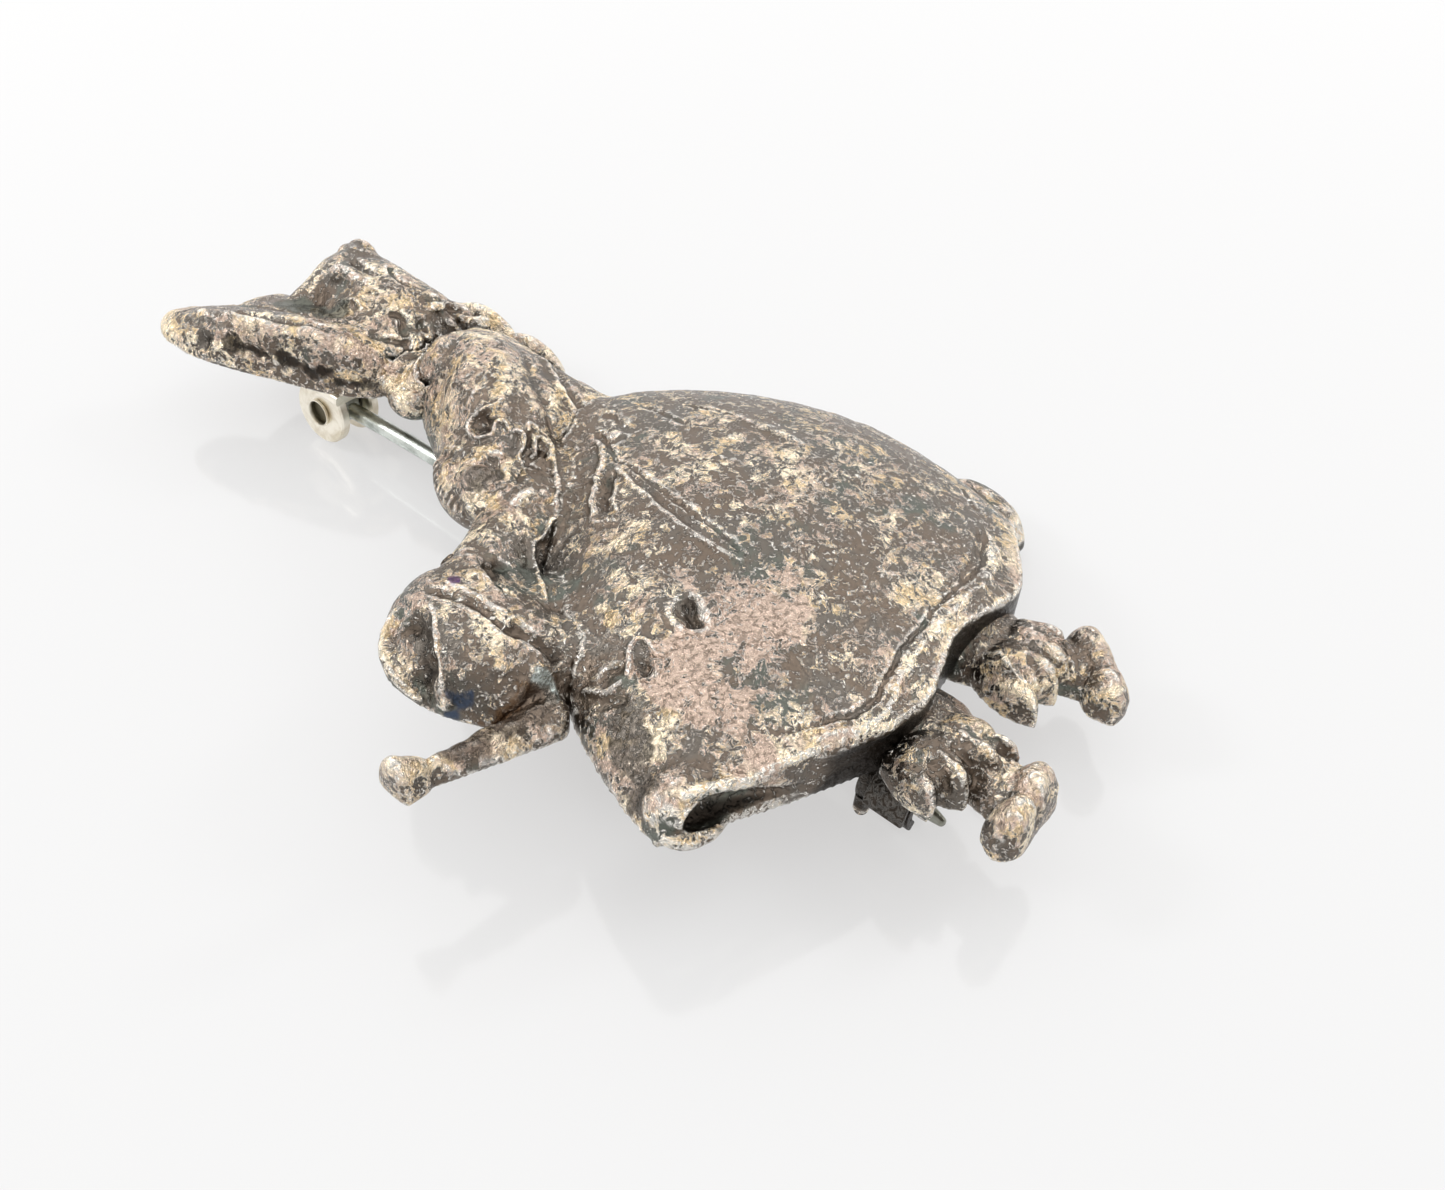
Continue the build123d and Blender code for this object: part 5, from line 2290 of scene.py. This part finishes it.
    def latch(self) -> list[np.ndarray]:
        """Shape the latch: a split barrel inside the sheet, and its lever with a ball end.

        Returns:
            Closed grids.
        """
        x, y, z = self.catch
        length = self.catch_length + self.latch_reach
        sheet = self.latch_radius - self.latch_bore - self.latch_ease
        at = x + self.lever_width / 2 - self.latch_radius
        depth = y + (self.latch_reach + 0.06) / 2
        thick = self.latch_reach - 0.06
        drop = np.linspace(self.lever_root, self.lever_drop, 10)
        middles = np.column_stack([np.full(10, at), np.full(10, depth), z - drop])
        return [
            self.shell(self.latch_radius, sheet, self.latch_reach, length, self.latch_round),
            swept(middles, ACROSS, ALONG, rounded_box(self.lever_width - 0.06, thick, 0.2)),
            ball(Lump(at, depth, z - self.lever_drop, self.lever_width / 2, thick / 2, self.lever_width / 2)),
        ]

    def shade(self, points: np.ndarray) -> np.ndarray:
        """Tell how much painted shade each point gets, deep in the rivet's bore, the sheet or the latch.

        Args:
            points: Points of the casting.

        Returns:
            One value a point, from 0 to 1.
        """
        along_hinge = points - np.array(self.hinge)
        along_catch = points - np.array(self.catch)
        bore = np.hypot(along_hinge[:, 1], along_hinge[:, 2])
        tunnel = np.hypot(along_catch[:, 0], along_catch[:, 2])
        inside = eased(-tunnel, -1.56, -1.48) * (along_catch[:, 1] < 0.03)
        return np.maximum(eased(-bore, -0.71, -0.67), inside)

    def build(self, casting: Casting, tarnish: bpy.types.Material) -> None:
        """Build the findings, dress them and lay them down.

        Args:
            casting: Where the casting lies.
            tarnish: The casting's finish, which the catch shares.
        """
        silver = WornSilver("worn_silver", (0.90, 0.85, 0.74), (0.66, 0.59, 0.46)).material()
        wire = WornSilver("pin_wire", (0.66, 0.70, 0.66), (0.34, 0.37, 0.34)).material()
        pieces = (
            ("pin_joint", [*self.ears(), *self.strip()], silver, "figure", "cast_silver", "figure"),
            ("rollover_catch", self.catch_piece(), tarnish, "figure", "cast_silver", "figure"),
            ("rivet", self.rivet(), silver, "figure", "findings", "joint_rivet"),
            ("pin", self.pin(), wire, "pin", "pin_wire", "pin_stem"),
            ("latch", self.latch(), tarnish, "latch", "findings", "catch_latch"),
        )
        for name, grids, material, body, slot, node in pieces:
            piece = merged(mesh_of(name, grids), 1e-5)
            skin = Skin.of(piece)
            # painted shade on the pin's point, in and past the catch
            tip = 0.7 * eased(-skin.points[:, 1], 26.8, 27.8)
            shade = tip if node == "pin_stem" else self.shade(skin.points)
            # painted shade over the catch and latch, all but the hanging lever
            if material is tarnish:
                lever = eased(self.catch[2] - skin.points[:, 2], self.latch_radius - 0.2, self.latch_radius)
                shade = np.maximum(shade, 0.66 * (1 - lever))
            skin.note("shade", shade)
            # the tarnished finish darkens by this painted shade through its hollow note
            skin.note("hollow", 1.6 * shade)
            skin.note("edge", np.clip(skin.rounding(2) / 0.05, -1, 1))
            piece.data.vertices.foreach_set("co", casting.lay(skin.points).astype(np.float32).ravel())
            finish_mesh(piece, material, body)
            sharpen(piece)
            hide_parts(node)


# Table, light and camera


class SoftBox(NamedTuple):
    """A square soft light: its place and side in metres, and its power in watts."""

    name: str
    place: tuple[float, float, float]
    side: float
    power: float


@dataclass(frozen=True)
class Studio:
    """Table, soft light and the photograph's camera."""

    eye: tuple[float, float, float] = (-47.931, -49.912, 76.362)
    heading: float = 50.0
    fall: float = 48.0
    roll: float = -1.2704
    lens: float = 48.173
    sensor: float = 36.0
    dim: float = 0.72
    full: float = 1.50
    bright_side: tuple[float, float, float] = (0.34, 0.44, 0.83)
    boxes: tuple[SoftBox, ...] = (
        SoftBox("soft_box_left", (-0.22, 0.28, 0.30), 0.10, 0.50),
        SoftBox("soft_box_right", (0.36, -0.16, 0.30), 0.10, 0.30),
    )

    def table(self) -> None:
        """Lay the board, a wide square at the frame's zero height."""
        half = 1.5
        mesh = bpy.data.meshes.new("table")
        corners = [(-half, -half, 0), (half, -half, 0), (half, half, 0), (-half, half, 0)]
        mesh.from_pydata(corners, [], [(0, 1, 2, 3)])
        board = bpy.data.objects.new("table", mesh)
        bpy.context.scene.collection.objects.link(board)
        mesh.materials.append(PaleTable().material())

    def light(self) -> None:
        """Hang soft boxes above, in a room that is bright behind the brooch and dim by the camera."""
        world = bpy.data.worlds.new("room")
        bpy.context.scene.world = world
        bpy.context.scene.view_settings.view_transform = "Standard"
        world.use_nodes = True
        nodes, links = world.node_tree.nodes, world.node_tree.links
        facing = nodes.new("ShaderNodeVectorMath")
        facing.operation = "DOT_PRODUCT"
        facing.inputs[1].default_value = unit(self.bright_side)
        links.new(nodes.new("ShaderNodeTexCoord").outputs["Generated"], facing.inputs[0])
        bright = nodes.new("ShaderNodeMapRange")
        bright.interpolation_type = "SMOOTHSTEP"
        limits = {"From Min": -0.15, "From Max": 0.95, "To Min": self.dim, "To Max": self.full}
        for name, value in limits.items():
            bright.inputs[name].default_value = value
        links.new(facing.outputs["Value"], bright.inputs["Value"])
        background = nodes["Background"]
        background.inputs["Color"].default_value = (1.0, 0.985, 0.975, 1.0)
        links.new(bright.outputs["Result"], background.inputs["Strength"])
        for box in self.boxes:
            data = bpy.data.lights.new(box.name, "AREA")
            data.shape = "SQUARE"
            data.size = box.side
            data.energy = box.power
            lamp = bpy.data.objects.new(box.name, data)
            bpy.context.scene.collection.objects.link(lamp)
            aim = -unit(box.place)
            side = unit(np.cross(aim, UP))
            basis = np.array([side, np.cross(side, aim), -aim]).T
            lamp.matrix_world = Matrix.Translation(box.place) @ Matrix(basis.tolist()).to_4x4()

    def camera(self) -> None:
        """Stand the camera where the photograph was taken from."""
        heading, fall, roll = (math.radians(angle) for angle in (self.heading, self.fall, self.roll))
        out = math.cos(fall)
        ahead = np.array([math.sin(heading) * out, math.cos(heading) * out, -math.sin(fall)])
        level = np.array([math.cos(heading), -math.sin(heading), 0.0])
        down = np.cross(ahead, level)
        right = math.cos(roll) * level + math.sin(roll) * down
        lower = math.cos(roll) * down - math.sin(roll) * level
        data = bpy.data.cameras.new("camera")
        data.lens = self.lens
        data.sensor_width = self.sensor
        data.clip_start = 0.001
        camera = bpy.data.objects.new("camera", data)
        bpy.context.scene.collection.objects.link(camera)
        turn = Matrix(np.array([right, -lower, -ahead]).T.tolist()).to_4x4()
        camera.matrix_world = Matrix.Translation(np.array(self.eye) * MM) @ turn
        bpy.context.scene.camera = camera


def main() -> None:
    """Build the brooch, its table and its light."""
    logging.basicConfig(level=logging.INFO, format="%(message)s")
    findings = Findings()
    casting = Casting.at_rest(frame["joints"], findings.hinge)
    tarnish = TarnishedSilver().material()
    Figure((Bonnet(), Bodice(), Skirt(), WateringCan(), Legs()), tarnish).build(casting)
    findings.build(casting, tarnish)
    studio = Studio()
    studio.table()
    studio.light()
    studio.camera()


if __name__ == "__main__":
    main()
